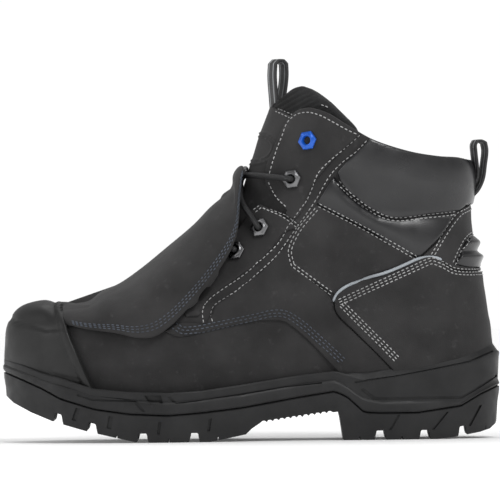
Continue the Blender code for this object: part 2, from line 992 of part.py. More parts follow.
def overlay(name, outline, outer, finish, low=-WIDE, high=WIDE, inner=BARE_LAST):
    """Piece of leather between two larger forms, within a side outline."""
    piece = form(name, outer, finish)
    keep(piece, prism(f"cut_{name}", [outline_points(outline)], low, high))
    return cut(piece, inner)


def grown_cutter(name, outline, distance=GAP):
    return prism(name, [grow(outline_points(outline), distance)])


SIDES = (("outer", -WIDE, 0.0), ("inner", 0.0, WIDE))


def build_quarters():
    counter = grown_cutter("cut_counter_grown", HEEL_COUNTER)
    for side, low, high in SIDES:
        quarter = overlay(f"quarter_{side}", QUARTER, even(GAP + OVERLAY), NUBUCK, low, high)
        cut(quarter, counter, BELOW_RIM)


def build_eyestays():
    for side, low, high in SIDES:
        first = 0 if side == "outer" else 1
        holes = HOLES[first::2]
        upper = overlay(f"eyestay_upper_{side}", EYESTAY_UPPER, even(GAP + OVERLAY), NUBUCK, low, high)
        cut(upper, THROAT, *holes[:2])
        lower = overlay(f"eyestay_lower_{side}", EYESTAY_LOWER, even(GAP + OVERLAY), NUBUCK, low, high)
        cut(lower, THROAT, *holes[2:])


def build_counter():
    counter = overlay("heel_counter", HEEL_COUNTER, even(GAP + COUNTER_STEP), NUBUCK)
    return cut(counter, BELOW_RIM)


def build_back_stay():
    stay = overlay("back_stay", BACK_STAY, even(GAP + OVERLAY), NUBUCK)
    return cut(
        stay,
        grown_cutter("cut_flex_grown", FLEX_PAD),
        grown_cutter("cut_counter_edge", HEEL_COUNTER),
    )


def flex_offset(along, up):
    """Soft swell across the back of the ankle; its two ribs are left to the finish."""
    middle = (FLEX_PAD[1][1] + FLEX_PAD[-2][1]) / 2
    half = (FLEX_PAD[1][1] - FLEX_PAD[-2][1]) / 2
    return GAP + OVERLAY + FLEX_BULGE * max(1 - ((up - middle) / half) ** 2, 0.0)


def collar_offset(along, up):
    """Padded collar: full in the middle of its height, thin at its seams."""
    low = between(PAD_LOW, PAD_LOW_ALONG, along)
    high = between(PAD_HIGH, PAD_HIGH_ALONG, along)
    share = min(max((up - low) / (high - low), 0.0), 1.0)
    return GAP + PAD_EDGE + PAD_BULGE * 4 * share * (1 - share)


def crescent_offset(along, up):
    """Lower collar pad, full between its curved seam and the ankle panel."""
    low = straight_through(CRESCENT_LOW, max(along, CRESCENT_BACK[0]))
    high = straight_through(CRESCENT_HIGH, max(along, CRESCENT_BACK[1]))
    share = min(max((up - low) / max(high - low, CRESCENT_LEAST), 0.0), 1.0)
    return GAP + PAD_EDGE + PAD_BULGE * 4 * share * (1 - share)


def build_collar():
    stay = grown_cutter("cut_stay_grown", BACK_STAY)
    counter = grown_cutter("cut_counter_top", HEEL_COUNTER)
    cut(overlay("collar_pad", COLLAR_PAD, collar_offset, SMOOTH_LEATHER), THROAT, stay)
    for side, low, high in SIDES:
        crescent = overlay(
            f"collar_crescent_{side}", COLLAR_CRESCENT, crescent_offset, SMOOTH_LEATHER, low, high
        )
        cut(crescent, stay, counter)
    overlay("flex_pad", FLEX_PAD, flex_offset, SMOOTH_LEATHER)


def bumper_offset(along, up):
    """Bumper's wall, thicker over the top of the toe."""
    return GAP + BUMPER_WALL + TOE_DOME * ease(*DOME_UP, up) * ease(*DOME_ALONG, along)


def build_bumper():
    """Rubber toe bumper with a raised rim along its back edge."""
    bumper = form("toe_bumper", bumper_offset, BUMPER_RUBBER)
    rim = as_cutter(form("cut_bumper_rim", even(GAP + BUMPER_RIM)))
    keep(rim, prism("cut_rim_band", [outline_points(BUMPER_RIM_LINE)]))
    boolean(bumper, rim, "UNION")
    keep(bumper, prism("cut_bumper_outline", [outline_points(BUMPER)]))
    return cut(bumper, BARE_LAST, BELOW_RIM)


def tongue_offset(along, up):
    """Back of the tongue's pad, thicker towards its top."""
    thick = between((TONGUE_PAD, TONGUE_TOP_PAD), TONGUE_TOP_UP, up)
    return -(WALL + 2 * GAP + TONGUE_FACING + thick)


def build_tongue():
    facing_level = form("cut_facing_back", even(-(WALL + GAP + TONGUE_FACING)), reach=CUTTER_REACH)
    facing = form("tongue_facing", even(-(WALL + GAP)), NUBUCK)
    keep(facing, prism("cut_facing_outline", [outline_points(TONGUE_FACING_OUTLINE)]))
    cut(facing, facing_level)
    pad = form("tongue_pad", even(-(WALL + 2 * GAP + TONGUE_FACING)), MESH_LINING)
    keep(pad, prism("cut_pad_outline", [outline_points(TONGUE_PAD_OUTLINE)]))
    pad_back = form("cut_pad_back", tongue_offset, reach=CUTTER_REACH)
    slot = loop_solid("cut_loop_slot", [grow(outline_points(TONGUE_LOOP), GAP)], WEBBING_WIDTH + 2 * GAP)
    cut(pad, pad_back, slot)
    cut(facing, slot)


def loop_solid(name, outlines, width, finish=None):
    """Webbing loop: a side outline given a width and turned about its own upright axis."""
    loop = prism(name, outlines, -width / 2, width / 2, finish)
    xs = [x for x, _ in outlines[0]]
    middle = (min(xs) + max(xs)) / 2
    pivot = Matrix.Translation((middle, 0, 0))
    loop.matrix_world = pivot @ Matrix.Rotation(LOOP_TURN, 4, "Z") @ pivot.inverted() @ loop.matrix_world
    return loop


def build_loops():
    loop_solid(
        "tongue_loop",
        [outline_points(TONGUE_LOOP), outline_points(TONGUE_LOOP_HOLE)],
        WEBBING_WIDTH,
        WEBBING,
    )
    heel_loop = loop_solid(
        "heel_loop",
        [outline_points(HEEL_LOOP), outline_points(HEEL_LOOP_HOLE)],
        WEBBING_WIDTH,
        WEBBING,
    )
    seat = form("cut_loop_seat", lambda along, up: collar_offset(along, up) + GAP, reach=CUTTER_REACH)
    cut(heel_loop, seat, grown_cutter("cut_loop_stay", BACK_STAY))


def sole_ring(line, heel_out, out):
    """One ring of the sole's side, at the height of its line and stepped in or out from the plan."""
    halves = [SOLE_PLAN[0] * SOLE_HEEL_WIDTH] + [share * SOLE_BALL_WIDTH for share in SOLE_PLAN[1:]]
    plan = [ring_point((0.0, 0.0), (1.0, 0.0), halves, turn) for turn in TURNS]
    heights = None if line == "ground" else sole_line(line)
    ring = []
    for index, point in enumerate(plan):
        step = plan[(index + 1) % AROUND] - plan[index - 1]
        normal = Vector((step.y, -step.x, 0)).normalized()
        if normal.dot(point - Vector((side_point(0.5, 0)[0], 0, 0))) < 0:
            normal = -normal
        along = along_up(point)[0]
        heel = ease(HEEL_CUP_END, HEEL_CUP_START, along)
        moved = point + normal * (out + (heel_out - out) * heel)
        along = min(max(along_up(moved)[0], -PAST_ENDS), 1 + PAST_ENDS)
        up = GROUND_UP if heights is None else straight_through(heights, along)
        moved.z = side_point(along, up)[1] + CUT_SPARE.get(line, 0.0)
        ring.append(moved)
    return ring


def tread_outline():
    """Everything below the tread, with the grooves across it."""
    points = []
    for along, up in TREAD:
        if not any(abs(along - middle) <= width / 2 for middle, width in GROOVES):
            points.append((along, side_point(along, up)[1]))
    for middle, width in GROOVES:
        for place, deep in ((-0.5, 0), (-0.3, 1), (0.3, 1), (0.5, 0)):
            along = middle + place * width
            level = side_point(along, straight_through(TREAD, along))[1]
            points.append((along, level + deep * LUG_DEPTH))
    points.sort()
    outline = [((HEEL_CENTRE - along) * LENGTH, level) for along, level in points]
    return [*outline, (outline[-1][0], TREAD_FLOOR), (outline[0][0], TREAD_FLOOR)]


def build_sole():
    """Outsole with its lugs, and the midsole cup that holds the upper."""
    rings = [sole_ring(line, heel_out, out) for line, heel_out, out in SOLE_STEPS]
    below_parting = below_line("cut_below_parting", sole_line("parting"), 0.0)
    under_parting = below_line("cut_under_parting", sole_line("parting"), -GAP)
    outsole = add_object("outsole", loft_rings("outsole", rings), SOLE_RUBBER)
    keep(outsole, under_parting)
    cut(outsole, prism("cut_tread", [tread_outline()]))
    cavity = form("cut_cavity", even(GAP))
    cut(cavity, bed_prism("cut_bed_floor", -GAP))
    midsole = add_object("midsole", loft_rings("midsole", rings), SOLE_RUBBER)
    keep(midsole, below_line("cut_rim_level", sole_line("rim"), 0.0))
    cut(midsole, below_parting, cavity)
    insole = form("insole", even(-(WALL + 2 * GAP)), INSOLE_FELT)
    keep(insole, bed_prism("cut_insole_top", INSOLE_THICKNESS))
    cut(insole, BELOW_BED)


def guard_point(row, place):
    """Outer face of the guard: place runs from -1 at the outer edge to 1 at the inner edge."""
    cell = dict(zip(GUARD_COLUMNS, row))
    ridge_x, ridge_z = side_point(cell["ridge"], cell["ridge_up"])
    edge_x, edge_z = side_point(cell["edge"], cell["edge_up"])
    angle = place * math.pi / 2
    drop = 1 - math.cos(angle) ** GUARD_CROWN
    across = math.copysign(abs(math.sin(angle)) ** GUARD_FLANK, angle)
    x = ridge_x + (edge_x - ridge_x) * drop
    z = ridge_z + (edge_z - ridge_z) * drop
    return Vector((x, across * cell["half"] * BALL_WIDTH + swing(HEEL_CENTRE - x / LENGTH), z))


def guard_clearance(along):
    """Room under the guard: close on the vamp, wider over the eyelets and the lace."""
    return between((GUARD_CLEARANCE, LACED_CLEARANCE), LACED_ALONG, along)


def guard_fullness(along):
    """0 at the thin front that is sewn to the vamp, 1 where the guard has its full thickness."""
    return ease(*GUARD_FULL_ALONG, along)


def push_out(tree, point):
    """Point moved off the overlays until the guard's thickness and its room fit under it."""
    along = along_up(point)[0]
    if along < GUARD_FREE:
        return point
    thickness = GUARD_FRONT_THICKNESS + (GUARD_THICKNESS - GUARD_FRONT_THICKNESS) * guard_fullness(along)
    needed = thickness + guard_clearance(along) - OVERLAY * (1 - guard_fullness(along))
    for _ in range(3):
        nearest, normal, _, _ = tree.find_nearest(point)
        point = point + normal * max(needed - (point - nearest).dot(normal), 0.0)
    return point


def build_guard():
    """Moulded leather guard: an open sheet over the instep given its thickness inwards."""
    tree = form_tree(GAP + OVERLAY)
    places = [-1 + 2 * step / GUARD_ACROSS for step in range(GUARD_ACROSS + 1)]
    vertices = [push_out(tree, guard_point(row, place)) for row in GUARD for place in places]
    wide = GUARD_ACROSS + 1
    faces = [
        (low + step, low + step + 1, low + wide + step + 1, low + wide + step)
        for low in range(0, (len(GUARD) - 1) * wide, wide)
        for step in range(GUARD_ACROSS)
    ]
    mesh = bpy.data.meshes.new("metatarsal_guard")
    mesh.from_pydata([tuple(vertex) for vertex in vertices], [], faces)
    if mesh.polygons[len(faces) // 4].normal.z < 0:
        mesh.flip_normals()
    guard = add_object("metatarsal_guard", mesh, NUBUCK)
    thick = guard.modifiers.new("thickness", "SOLIDIFY")
    thick.thickness = GUARD_THICKNESS
    thick.offset = -1
    full = guard.vertex_groups.new(name="full")
    for vertex in mesh.vertices:
        full.add([vertex.index], guard_fullness(along_up(vertex.co)[0]), "REPLACE")
    thick.vertex_group = full.name
    thick.thickness_vertex_group = GUARD_FRONT_THICKNESS / GUARD_THICKNESS
    return guard


def build_eyelets():
    for index, (point, normal) in enumerate(EYELET_PLACES):
        row = index // 2 + 1
        side = SIDES[index % 2][0]
        finish = BLUE_METAL if row == 1 else GUNMETAL
        eyelet = round_solid(
            f"eyelet_{row}_{side}", 6, EYELET_RADIUS, EYELET_TOP_RADIUS, EYELET_HEIGHT, finish
        )
        eyelet.data.shade_flat()
        tilt = EYELET_TILT if side == "outer" else -EYELET_TILT
        eyelet.matrix_world = facing(point + normal * GAP, normal, tilt + EYELET_FLAT)
        cut(eyelet, HOLES[index])


def find_on_last(along, up, side):
    """Turn and row of the last at a side view place, by a few Newton steps."""
    x, z = side_point(along, up)
    turn = math.pi * (SEARCH_TURN if side < 0 else 2 - SEARCH_TURN)
    row = SEARCH_ROW
    for _ in range(20):
        here = last_point(turn, row)
        by_turn = (last_point(turn + 0.01, row) - here) / 0.01
        by_row = (last_point(turn, row + 0.05) - here) / 0.05
        miss_x = x - here.x
        miss_z = z - here.z
        spread = by_turn.x * by_row.z - by_turn.z * by_row.x
        turn += SEARCH_STEP * (miss_x * by_row.z - miss_z * by_row.x) / spread
        row += SEARCH_STEP * (miss_z * by_turn.x - miss_x * by_turn.z) / spread
        row = min(max(row, LOWEST_ROW), len(LAST) - TOP_ROWS)
    return turn, row


def lace_tube(name, places):
    """Round lace through places, as a curve object with filled ends."""
    curve = bpy.data.curves.new(name, "CURVE")
    curve.dimensions = "3D"
    curve.bevel_depth = LACE_RADIUS
    curve.bevel_resolution = 1
    curve.use_fill_caps = True
    spline = curve.splines.new("POLY")
    spline.points.add(len(places) - 1)
    for point, place in zip(spline.points, places):
        point.co = (*place, 1)
    holder = bpy.data.objects.new(name, curve)
    bpy.context.scene.collection.objects.link(holder)
    return holder


def strand_places(high_side, steps=11):
    """From the second eyelet of one side over the tongue's front to the third of the other."""
    start_turn, start_row = find_on_last(*EYELETS[1], high_side)
    end_turn, end_row = find_on_last(*EYELETS[2], -high_side)
    places = []
    for step in range(steps + 1):
        share = step / steps
        turn = start_turn + (end_turn - start_turn) * share
        row = start_row + (end_row - start_row) * ease(*STRAND_DROP, share)
        lift = between((LACE_LIFT, TONGUE_LIFT), STRAND_SINK, min(share, 1 - share))
        places.append(last_point(turn, row) + last_normal(turn, row) * lift)
    return places


def bar_places(steps=6):
    """Straight across under the guard, between the flanks of the lowest eyelets."""
    start_turn, row = find_on_last(*EYELETS[3], -1)
    end_turn, _ = find_on_last(*EYELETS[3], 1)
    inset = BAR_INSET / (HEEL_WIDTH / 2)
    start_turn += inset
    end_turn -= inset
    places = []
    for step in range(steps + 1):
        turn = start_turn + (end_turn - start_turn) * step / steps
        places.append(last_point(turn, row) + last_normal(turn, row) * BAR_LIFT)
    return places


def build_laces():
    """Crossing between the two used pairs of eyelets, and the bar under the guard."""
    crossing = curve_to_object(lace_tube("lace_crossing", strand_places(-1)), LACE_CORD)
    other = curve_to_object(lace_tube("cut_other_strand", strand_places(1)))
    boolean(crossing, other, "UNION")
    curve_to_object(lace_tube("lace_bar", bar_places()), LACE_CORD)


build_sole()
build_upper()
build_quarters()
build_eyestays()
build_counter()
build_back_stay()
build_collar()
build_bumper()
build_tongue()
build_loops()
build_guard()
build_eyelets()
build_laces()
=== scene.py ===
# %% [markdown]
# A laced ankle boot with a guard over the instep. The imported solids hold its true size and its
# places. This script loads them as a frame, and dresses each one with the surface that the real
# boot shows. Everything is in metres, the toe points along -X and the outer side faces -Y.

# %% Load the frame
import math

import bpy
import numpy as np
from mathutils import Matrix, Vector
from mathutils.bvhtree import BVHTree
from mathutils.geometry import delaunay_2d_cdt
from mathutils.kdtree import KDTree


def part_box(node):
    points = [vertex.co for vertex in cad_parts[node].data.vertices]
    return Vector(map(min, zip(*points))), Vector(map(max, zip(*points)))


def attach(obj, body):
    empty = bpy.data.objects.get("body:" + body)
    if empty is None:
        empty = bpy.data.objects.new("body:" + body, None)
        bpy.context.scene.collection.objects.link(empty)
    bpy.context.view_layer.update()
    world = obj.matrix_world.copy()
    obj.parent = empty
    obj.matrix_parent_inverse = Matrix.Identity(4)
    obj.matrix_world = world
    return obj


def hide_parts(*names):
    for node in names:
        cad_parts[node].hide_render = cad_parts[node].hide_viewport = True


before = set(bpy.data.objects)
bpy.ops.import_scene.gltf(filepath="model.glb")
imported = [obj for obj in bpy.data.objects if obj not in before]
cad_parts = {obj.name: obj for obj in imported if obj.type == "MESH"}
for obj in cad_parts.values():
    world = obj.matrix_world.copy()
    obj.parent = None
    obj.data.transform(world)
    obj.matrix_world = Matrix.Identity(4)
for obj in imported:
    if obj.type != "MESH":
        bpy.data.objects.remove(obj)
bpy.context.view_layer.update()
bpy.ops.object.select_all(action="DESELECT")
print("solids in the frame:", len(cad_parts))

# %% [markdown]
# A shoemaker builds on a last, a wooden foot. The same last is worked out here as in the solids:
# rings from below the foot to above the collar, each through a back point and a front point of
# the side view, with half widths at four stations. A place in the side view is (along, up), as
# shares of the length and of the height. Any piece can then be laid on the last by two numbers,
# its turn round the foot (0 at the back, pi at the front) and its row between the rings. A
# subdivided cage could hold the form too, but a function keeps every layer exactly parallel.

# %% The last
LENGTH = 0.312
HEIGHT = 0.172
HEEL_CENTRE = 0.2
HEEL_WIDTH = 0.074
BALL_WIDTH = 0.106
SOLE_HEEL_WIDTH = 0.083
SOLE_BALL_WIDTH = 0.116
BLUNT = 0.85
LAST = np.array((
    # back, back_up, front, front_up, heel, waist, ball, toe
    (0.038, 0.102, 0.964, 0.065, 0.425, 0.299, 0.420, 0.340),
    (0.022, 0.284, 0.984, 0.266, 0.500, 0.349, 0.500, 0.406),
    (0.024, 0.375, 0.984, 0.357, 0.500, 0.349, 0.491, 0.406),
    (0.026, 0.415, 0.980, 0.420, 0.496, 0.349, 0.466, 0.387),
    (0.029, 0.442, 0.964, 0.459, 0.491, 0.352, 0.440, 0.347),
    (0.031, 0.466, 0.924, 0.483, 0.486, 0.355, 0.416, 0.302),
    (0.035, 0.520, 0.878, 0.4835, 0.470, 0.360, 0.392, 0.272),
    (0.038, 0.555, 0.821, 0.491, 0.459, 0.363, 0.377, 0.255),
    (0.040, 0.592, 0.757, 0.540, 0.446, 0.363, 0.368, 0.250),
    (0.042, 0.630, 0.685, 0.599, 0.426, 0.361, 0.363, 0.245),
    (0.048, 0.677, 0.620, 0.680, 0.399, 0.358, 0.358, 0.241),
    (0.058, 0.787, 0.542, 0.840, 0.372, 0.363, 0.349, 0.231),
    (0.058, 0.929, 0.504, 1.022, 0.405, 0.406, 0.368, 0.236),
    (0.060, 0.998, 0.488, 1.112, 0.419, 0.425, 0.387, 0.245),
    (0.066, 1.049, 0.466, 1.215, 0.419, 0.429, 0.396, 0.255),
    (0.074, 1.104, 0.444, 1.330, 0.419, 0.429, 0.396, 0.255),
))
STATIONS = np.array((0.12, 0.40, 0.68, 0.88))
SWING = np.array((
    # along, how far the middle line swings inwards there
    (0.0, 0.0), (0.2, 0.0), (0.42, -0.033), (0.6, -0.028), (0.75, 0.0), (0.88, 0.033), (1.0, 0.066),
))
ROW_NUDGE = 0.05
TURN_NUDGE = 0.01
HALVINGS = 24
GIRTH_ROW = 5.0


def smooth_through(places, values, place):
    """Smooth curve through columns of values at rising places, held at both ends."""
    places = np.asarray(places, float)
    values = np.asarray(values, float)
    place = np.asarray(place, float)
    last = len(places) - 1
    left = np.clip(np.searchsorted(places, place, side="right") - 1, 0, last - 1)
    span = places[left + 1] - places[left]
    share = np.clip((place - places[left]) / span, 0, 1)
    before, after = np.maximum(np.arange(last + 1) - 1, 0), np.minimum(np.arange(last + 1) + 1, last)
    run = (places[after] - places[before]).reshape((-1,) + (1,) * (values.ndim - 1))
    slopes = (values[after] - values[before]) / run
    if values.ndim > 1:
        share = share[:, None]
        span = span[:, None]
    square = share * share
    cube = square * share
    return (
        (2 * cube - 3 * square + 1) * values[left]
        + (cube - 2 * square + share) * slopes[left] * span
        + (3 * square - 2 * cube) * values[left + 1]
        + (cube - square) * slopes[left + 1] * span
    )


def ease(start, end, place):
    """Soft step from 0 at start to 1 at end."""
    share = np.clip((np.asarray(place, float) - start) / (end - start), 0, 1)
    return share * share * (3 - 2 * share)


def bell(away, width):
    """One in the middle, falling off to nothing past its width."""
    return np.exp(-(away / width) ** 2)


def run_along(path):
    """Length of a path from its start to each of its points."""
    return np.concatenate(([0], np.cumsum(np.linalg.norm(np.diff(path, axis=0), axis=1))))


def curved(share, first, first_slope, last, last_slope):
    """Cubic between two values that leaves and arrives at the given slopes."""
    square, cube = share ** 2, share ** 3
    return (
        (2 * cube - 3 * square + 1) * first + (cube - 2 * square + share) * first_slope
        + (3 * square - 2 * cube) * last + (cube - square) * last_slope)


def swing(along):
    """Sideways shift of the boot's middle line, in metres."""
    return smooth_through(SWING[:, 0], SWING[:, 1], along) * BALL_WIDTH


def ring_factor(halves, share):
    """Width factor of a ring at a share of its length. halves has one column a station."""
    factors = halves / (2 * np.sqrt(STATIONS * (1 - STATIONS))) ** BLUNT
    share = np.clip(share, STATIONS[0], STATIONS[-1])
    left = np.clip(np.searchsorted(STATIONS, share, side="right") - 1, 0, 2)
    span = STATIONS[left + 1] - STATIONS[left]
    part = (share - STATIONS[left]) / span
    rows = np.arange(len(share))

    def slope(index):
        before, after = np.maximum(index - 1, 0), np.minimum(index + 1, 3)
        return (factors[rows, after] - factors[rows, before]) / (STATIONS[after] - STATIONS[before]) * span

    return curved(part, factors[rows, left], slope(left), factors[rows, left + 1], slope(left + 1))


def last_points(turn, row):
    """Points of the last at turns and rows, as an array of X, Y and Z."""
    turn, row = np.atleast_1d(turn).astype(float), np.atleast_1d(row).astype(float)
    cell = smooth_through(np.arange(len(LAST)), LAST, row)
    share = (1 - np.cos(turn)) / 2
    along = cell[:, 0] + (cell[:, 2] - cell[:, 0]) * share
    up = cell[:, 1] + (cell[:, 3] - cell[:, 1]) * share
    halves = cell[:, 4:8] * np.array((HEEL_WIDTH, BALL_WIDTH, BALL_WIDTH, BALL_WIDTH))
    sine = np.sin(turn)
    y = -np.sign(sine) * ring_factor(halves, share) * np.abs(sine) ** BLUNT + swing(along)
    return np.stack(((HEEL_CENTRE - along) * LENGTH, y, up * HEIGHT), axis=1)


def last_normals(turn, row):
    """Way out of the last at turns and rows."""
    low, high = np.clip(row - ROW_NUDGE, 0, len(LAST) - 1), np.clip(row + ROW_NUDGE, 0, len(LAST) - 1)
    round_step = last_points(turn + TURN_NUDGE, row) - last_points(turn - TURN_NUDGE, row)
    up_step = last_points(turn, high) - last_points(turn, low)
    normal = np.cross(up_step, round_step)
    return normal / np.linalg.norm(normal, axis=1, keepdims=True)


def to_last(along, up):
    """Turn, row and share of side view places, found by halving the span of rows.

    Past the last's edge the turn stays on it, and the share runs on below 0 or above 1.
    """
    along, up = np.asarray(along, float), np.asarray(up, float)
    low, high = np.zeros(len(along)), np.full(len(along), len(LAST) - 1.0)
    rows = np.arange(len(LAST))
    for _ in range(HALVINGS):
        middle = (low + high) / 2
        cell = smooth_through(rows, LAST[:, :4], middle)
        share = (along - cell[:, 0]) / (cell[:, 2] - cell[:, 0])
        line_up = cell[:, 1] + (cell[:, 3] - cell[:, 1]) * share
        low = np.where(line_up < up, middle, low)
        high = np.where(line_up < up, high, middle)
    return np.arccos(np.clip(1 - 2 * share, -1, 1)), middle, share


def side_view(points):
    """Along and up of points."""
    return HEEL_CENTRE - points[:, 0] / LENGTH, points[:, 2] / HEIGHT


girth_ring = last_points(np.linspace(0, math.tau, 400), np.full(400, GIRTH_ROW))
print("girth at the ball in mm:", round(float(run_along(girth_ring)[-1] * 1000)))

# %% [markdown]
# Each piece of leather is a flat pattern before it is sewn. Here a pattern is an outline in the
# side view, laid out flat in two lengths: how far round the last, and how far up. A constrained
# Delaunay triangulation fills the outline with even triangles that follow its edge exactly, and
# the result is wrapped on the last with its thickness and a rounded edge. A shrinkwrapped grid
# would be quicker to write, but its edge would be a staircase.

# %% Patterns
ROUND_SCALE = 0.085
SMOOTH_CORNER = math.radians(42)
front_steps = np.linalg.norm((LAST[1:, 2:4] - LAST[:-1, 2:4]) * (LENGTH, HEIGHT), axis=1)
back_steps = np.linalg.norm((LAST[1:, 0:2] - LAST[:-1, 0:2]) * (LENGTH, HEIGHT), axis=1)
ROW_PLACES = np.concatenate(([0], np.cumsum((front_steps + back_steps) / 2)))
BACK, FRONT = 0.0, math.pi


def to_flat(turn, row):
    """Place on the flat pattern of turns and rows of the last."""
    return np.stack((turn * ROUND_SCALE, np.interp(row, np.arange(len(LAST)), ROW_PLACES)), axis=1)


def from_flat(flat):
    """Turns and rows of places on the flat pattern."""
    return flat[:, 0] / ROUND_SCALE, np.interp(flat[:, 1], ROW_PLACES, np.arange(len(LAST)))


def smooth_line(table, step=0.0012, closed=False):
    """Side view line through a table, curved at its soft bends and kept sharp at its corners."""
    points = np.array(table, float)
    scale = np.array((LENGTH, HEIGHT))
    count = len(points)
    line = []
    for index in range(count if closed else count - 1):
        a, b = points[index], points[(index + 1) % count]
        before = points[index - 1] if closed or index else a
        after = points[(index + 2) % count] if closed or index + 2 < count else b

        def tangent(left, here, right):
            one, two = (here - left) * scale, (right - here) * scale
            one_long, two_long = np.linalg.norm(one), np.linalg.norm(two)
            if min(one_long, two_long) < 1e-9:
                return (b - a) / 2
            turned = math.acos(np.clip(one @ two / one_long / two_long, -1, 1))
            if turned > SMOOTH_CORNER:
                return (b - a) * 0.9
            reach = np.linalg.norm((b - a) * scale)
            return (one / one_long + two / two_long) / 2 / scale * reach * 0.9

        steps = max(int(np.linalg.norm((b - a) * scale) / step), 1)
        share = np.arange(steps)[:, None] / steps
        line.append(curved(share, a, tangent(before, a, b), b, tangent(a, b, after)))
    if not closed:
        line.append(points[-1:])
    return np.concatenate(line)


def pattern(table, wrap=None):
    """Flat outline of a closed side view table. wrap folds it round the back or the front."""
    line = smooth_line(table, closed=True)
    turn, row, share = to_last(line[:, 0], line[:, 1])
    if wrap is None:
        return to_flat(turn, row)
    past = share < 0 if wrap == "back" else share > 1
    start = int(np.argmax(past & ~np.roll(past, -1)))
    order = np.roll(np.arange(len(line)), -start)
    stretch = order[: int((~past).sum()) + 1]
    turn, row = turn[stretch], row[stretch]
    edge = BACK if wrap == "back" else FRONT
    turn[0] = edge
    last = order[int((~past).sum()) + 1]
    turn = np.append(turn, edge)
    row = np.append(row, to_last(line[last:last + 1, 0], line[last:last + 1, 1])[1])
    half = to_flat(turn, row)
    other = half[::-1].copy()
    other[:, 0] = 2 * edge * ROUND_SCALE - other[:, 0]
    return np.concatenate((half, other[1:-1]))


def inside(points, loop):
    """Which flat points lie inside a closed loop."""
    found = np.zeros(len(points), bool)
    nxt = np.roll(loop, -1, axis=0)
    for (x0, y0), (x1, y1) in zip(loop, nxt):
        if y0 == y1:
            continue
        crosses = (y0 > points[:, 1]) != (y1 > points[:, 1])
        found ^= crosses & (points[:, 0] < (x1 - x0) * (points[:, 1] - y0) / (y1 - y0) + x0)
    return found


def dense(loop, times):
    """Closed loop with every edge cut in equal parts."""
    share = np.arange(times)[None, :, None] / times
    nxt = np.roll(loop, -1, axis=0)
    return (loop[:, None, :] * (1 - share) + nxt[:, None, :] * share).reshape(-1, 2)


def tree_of(points):
    """Search tree for the nearest of many points."""
    tree = KDTree(len(points))
    for index, point in enumerate(points):
        tree.insert(point, index)
    tree.balance()
    return tree


def distances(points, tree):
    """Distance of each point from the nearest one in the tree."""
    return np.array([tree.find(point)[2] for point in points])


def flat_mesh(within, without, spacing, rings):
    """Flat points and triangles inside every loop of within and outside those of without."""
    loops = within + without
    low = np.max([loop.min(axis=0) for loop in within], axis=0)
    high = np.min([loop.max(axis=0) for loop in within], axis=0)
    columns = np.arange(low[0], high[0], spacing)
    lines = np.arange(low[1], high[1], spacing * 0.87)
    grid = np.stack(np.meshgrid(columns, lines), axis=-1)
    grid[1::2, :, 0] += spacing / 2
    extra = [grid.reshape(-1, 2)]
    for loop in loops:
        along_loop = np.roll(loop, -1, axis=0) - np.roll(loop, 1, axis=0)
        along_loop /= np.maximum(np.linalg.norm(along_loop, axis=1, keepdims=True), 1e-12)
        across = np.stack((along_loop[:, 1], -along_loop[:, 0]), axis=1)
        for ring in rings:
            extra += [loop + across * ring, loop - across * ring]
    edge_tree = tree_of([(x, y, 0) for loop in loops for x, y in dense(loop, 3)])
    kept = []
    for number, points in enumerate(extra):
        clear = spacing * 0.75 if number == 0 else rings[0] * 0.7
        good = np.all([inside(points, loop) for loop in within], axis=0)
        for loop in without:
            good &= ~inside(points, loop)
        points = points[good]
        away = distances([(x, y, 0) for x, y in points], edge_tree) if len(points) else np.zeros(0)
        kept.append(points[away > clear])
    if len(rings):
        ring_points = np.concatenate(kept[1:]) if len(kept) > 1 else np.zeros((0, 2))
        near = distances([(x, y, 0) for x, y in kept[0]], edge_tree) > rings[-1] + spacing * 0.4
        kept = [kept[0][near], ring_points]
    points = [Vector(point) for loop in loops for point in loop]
    points += [Vector(point) for part in kept for point in part]
    edges, first = [], 0
    for loop in loops:
        edges += [(first + i, first + (i + 1) % len(loop)) for i in range(len(loop))]
        first += len(loop)
    made, _, faces, _, _, _ = delaunay_2d_cdt(points, edges, [], 0, 1e-7, False)
    made = np.array([tuple(point) for point in made])
    faces = np.array([tuple(face) for face in faces if len(face) == 3])
    centre = made[faces].mean(axis=1)
    good = np.all([inside(centre, loop) for loop in within], axis=0)
    for loop in without:
        good &= ~inside(centre, loop)
    return made, faces[good]


def border_edges(faces):
    """Directed edges that only one triangle has."""
    edges = np.concatenate((faces[:, [0, 1]], faces[:, [1, 2]], faces[:, [2, 0]]))
    known = {tuple(edge) for edge in edges}
    return np.array([edge for edge in edges if (edge[1], edge[0]) not in known])


def new_mesh(name, points, faces, finish, uv=None):
    """Object of a mesh that is already in its place, shaded smooth."""
    mesh = bpy.data.meshes.new(name)
    mesh.from_pydata(np.asarray(points).tolist(), [], [tuple(int(i) for i in face) for face in faces])
    if uv is not None:
        layer = mesh.uv_layers.new(name="pattern")
        loops = np.empty(len(mesh.loops), np.int32)
        mesh.loops.foreach_get("vertex_index", loops)
        layer.data.foreach_set("uv", np.asarray(uv, np.float32)[loops].ravel())
    mesh.shade_smooth()
    mesh.materials.append(finish)
    piece = bpy.data.objects.new(f"shown_{name}", mesh)
    bpy.context.scene.collection.objects.link(piece)
    return piece


def edge_drop(away, soft):
    """How far a surface lies below its full height near a rounded edge."""
    part = np.clip(away / np.maximum(soft, 1e-5), 0, 1)
    return soft * (1 - np.sqrt(np.clip(1 - (1 - part) ** 2, 0, 1)))


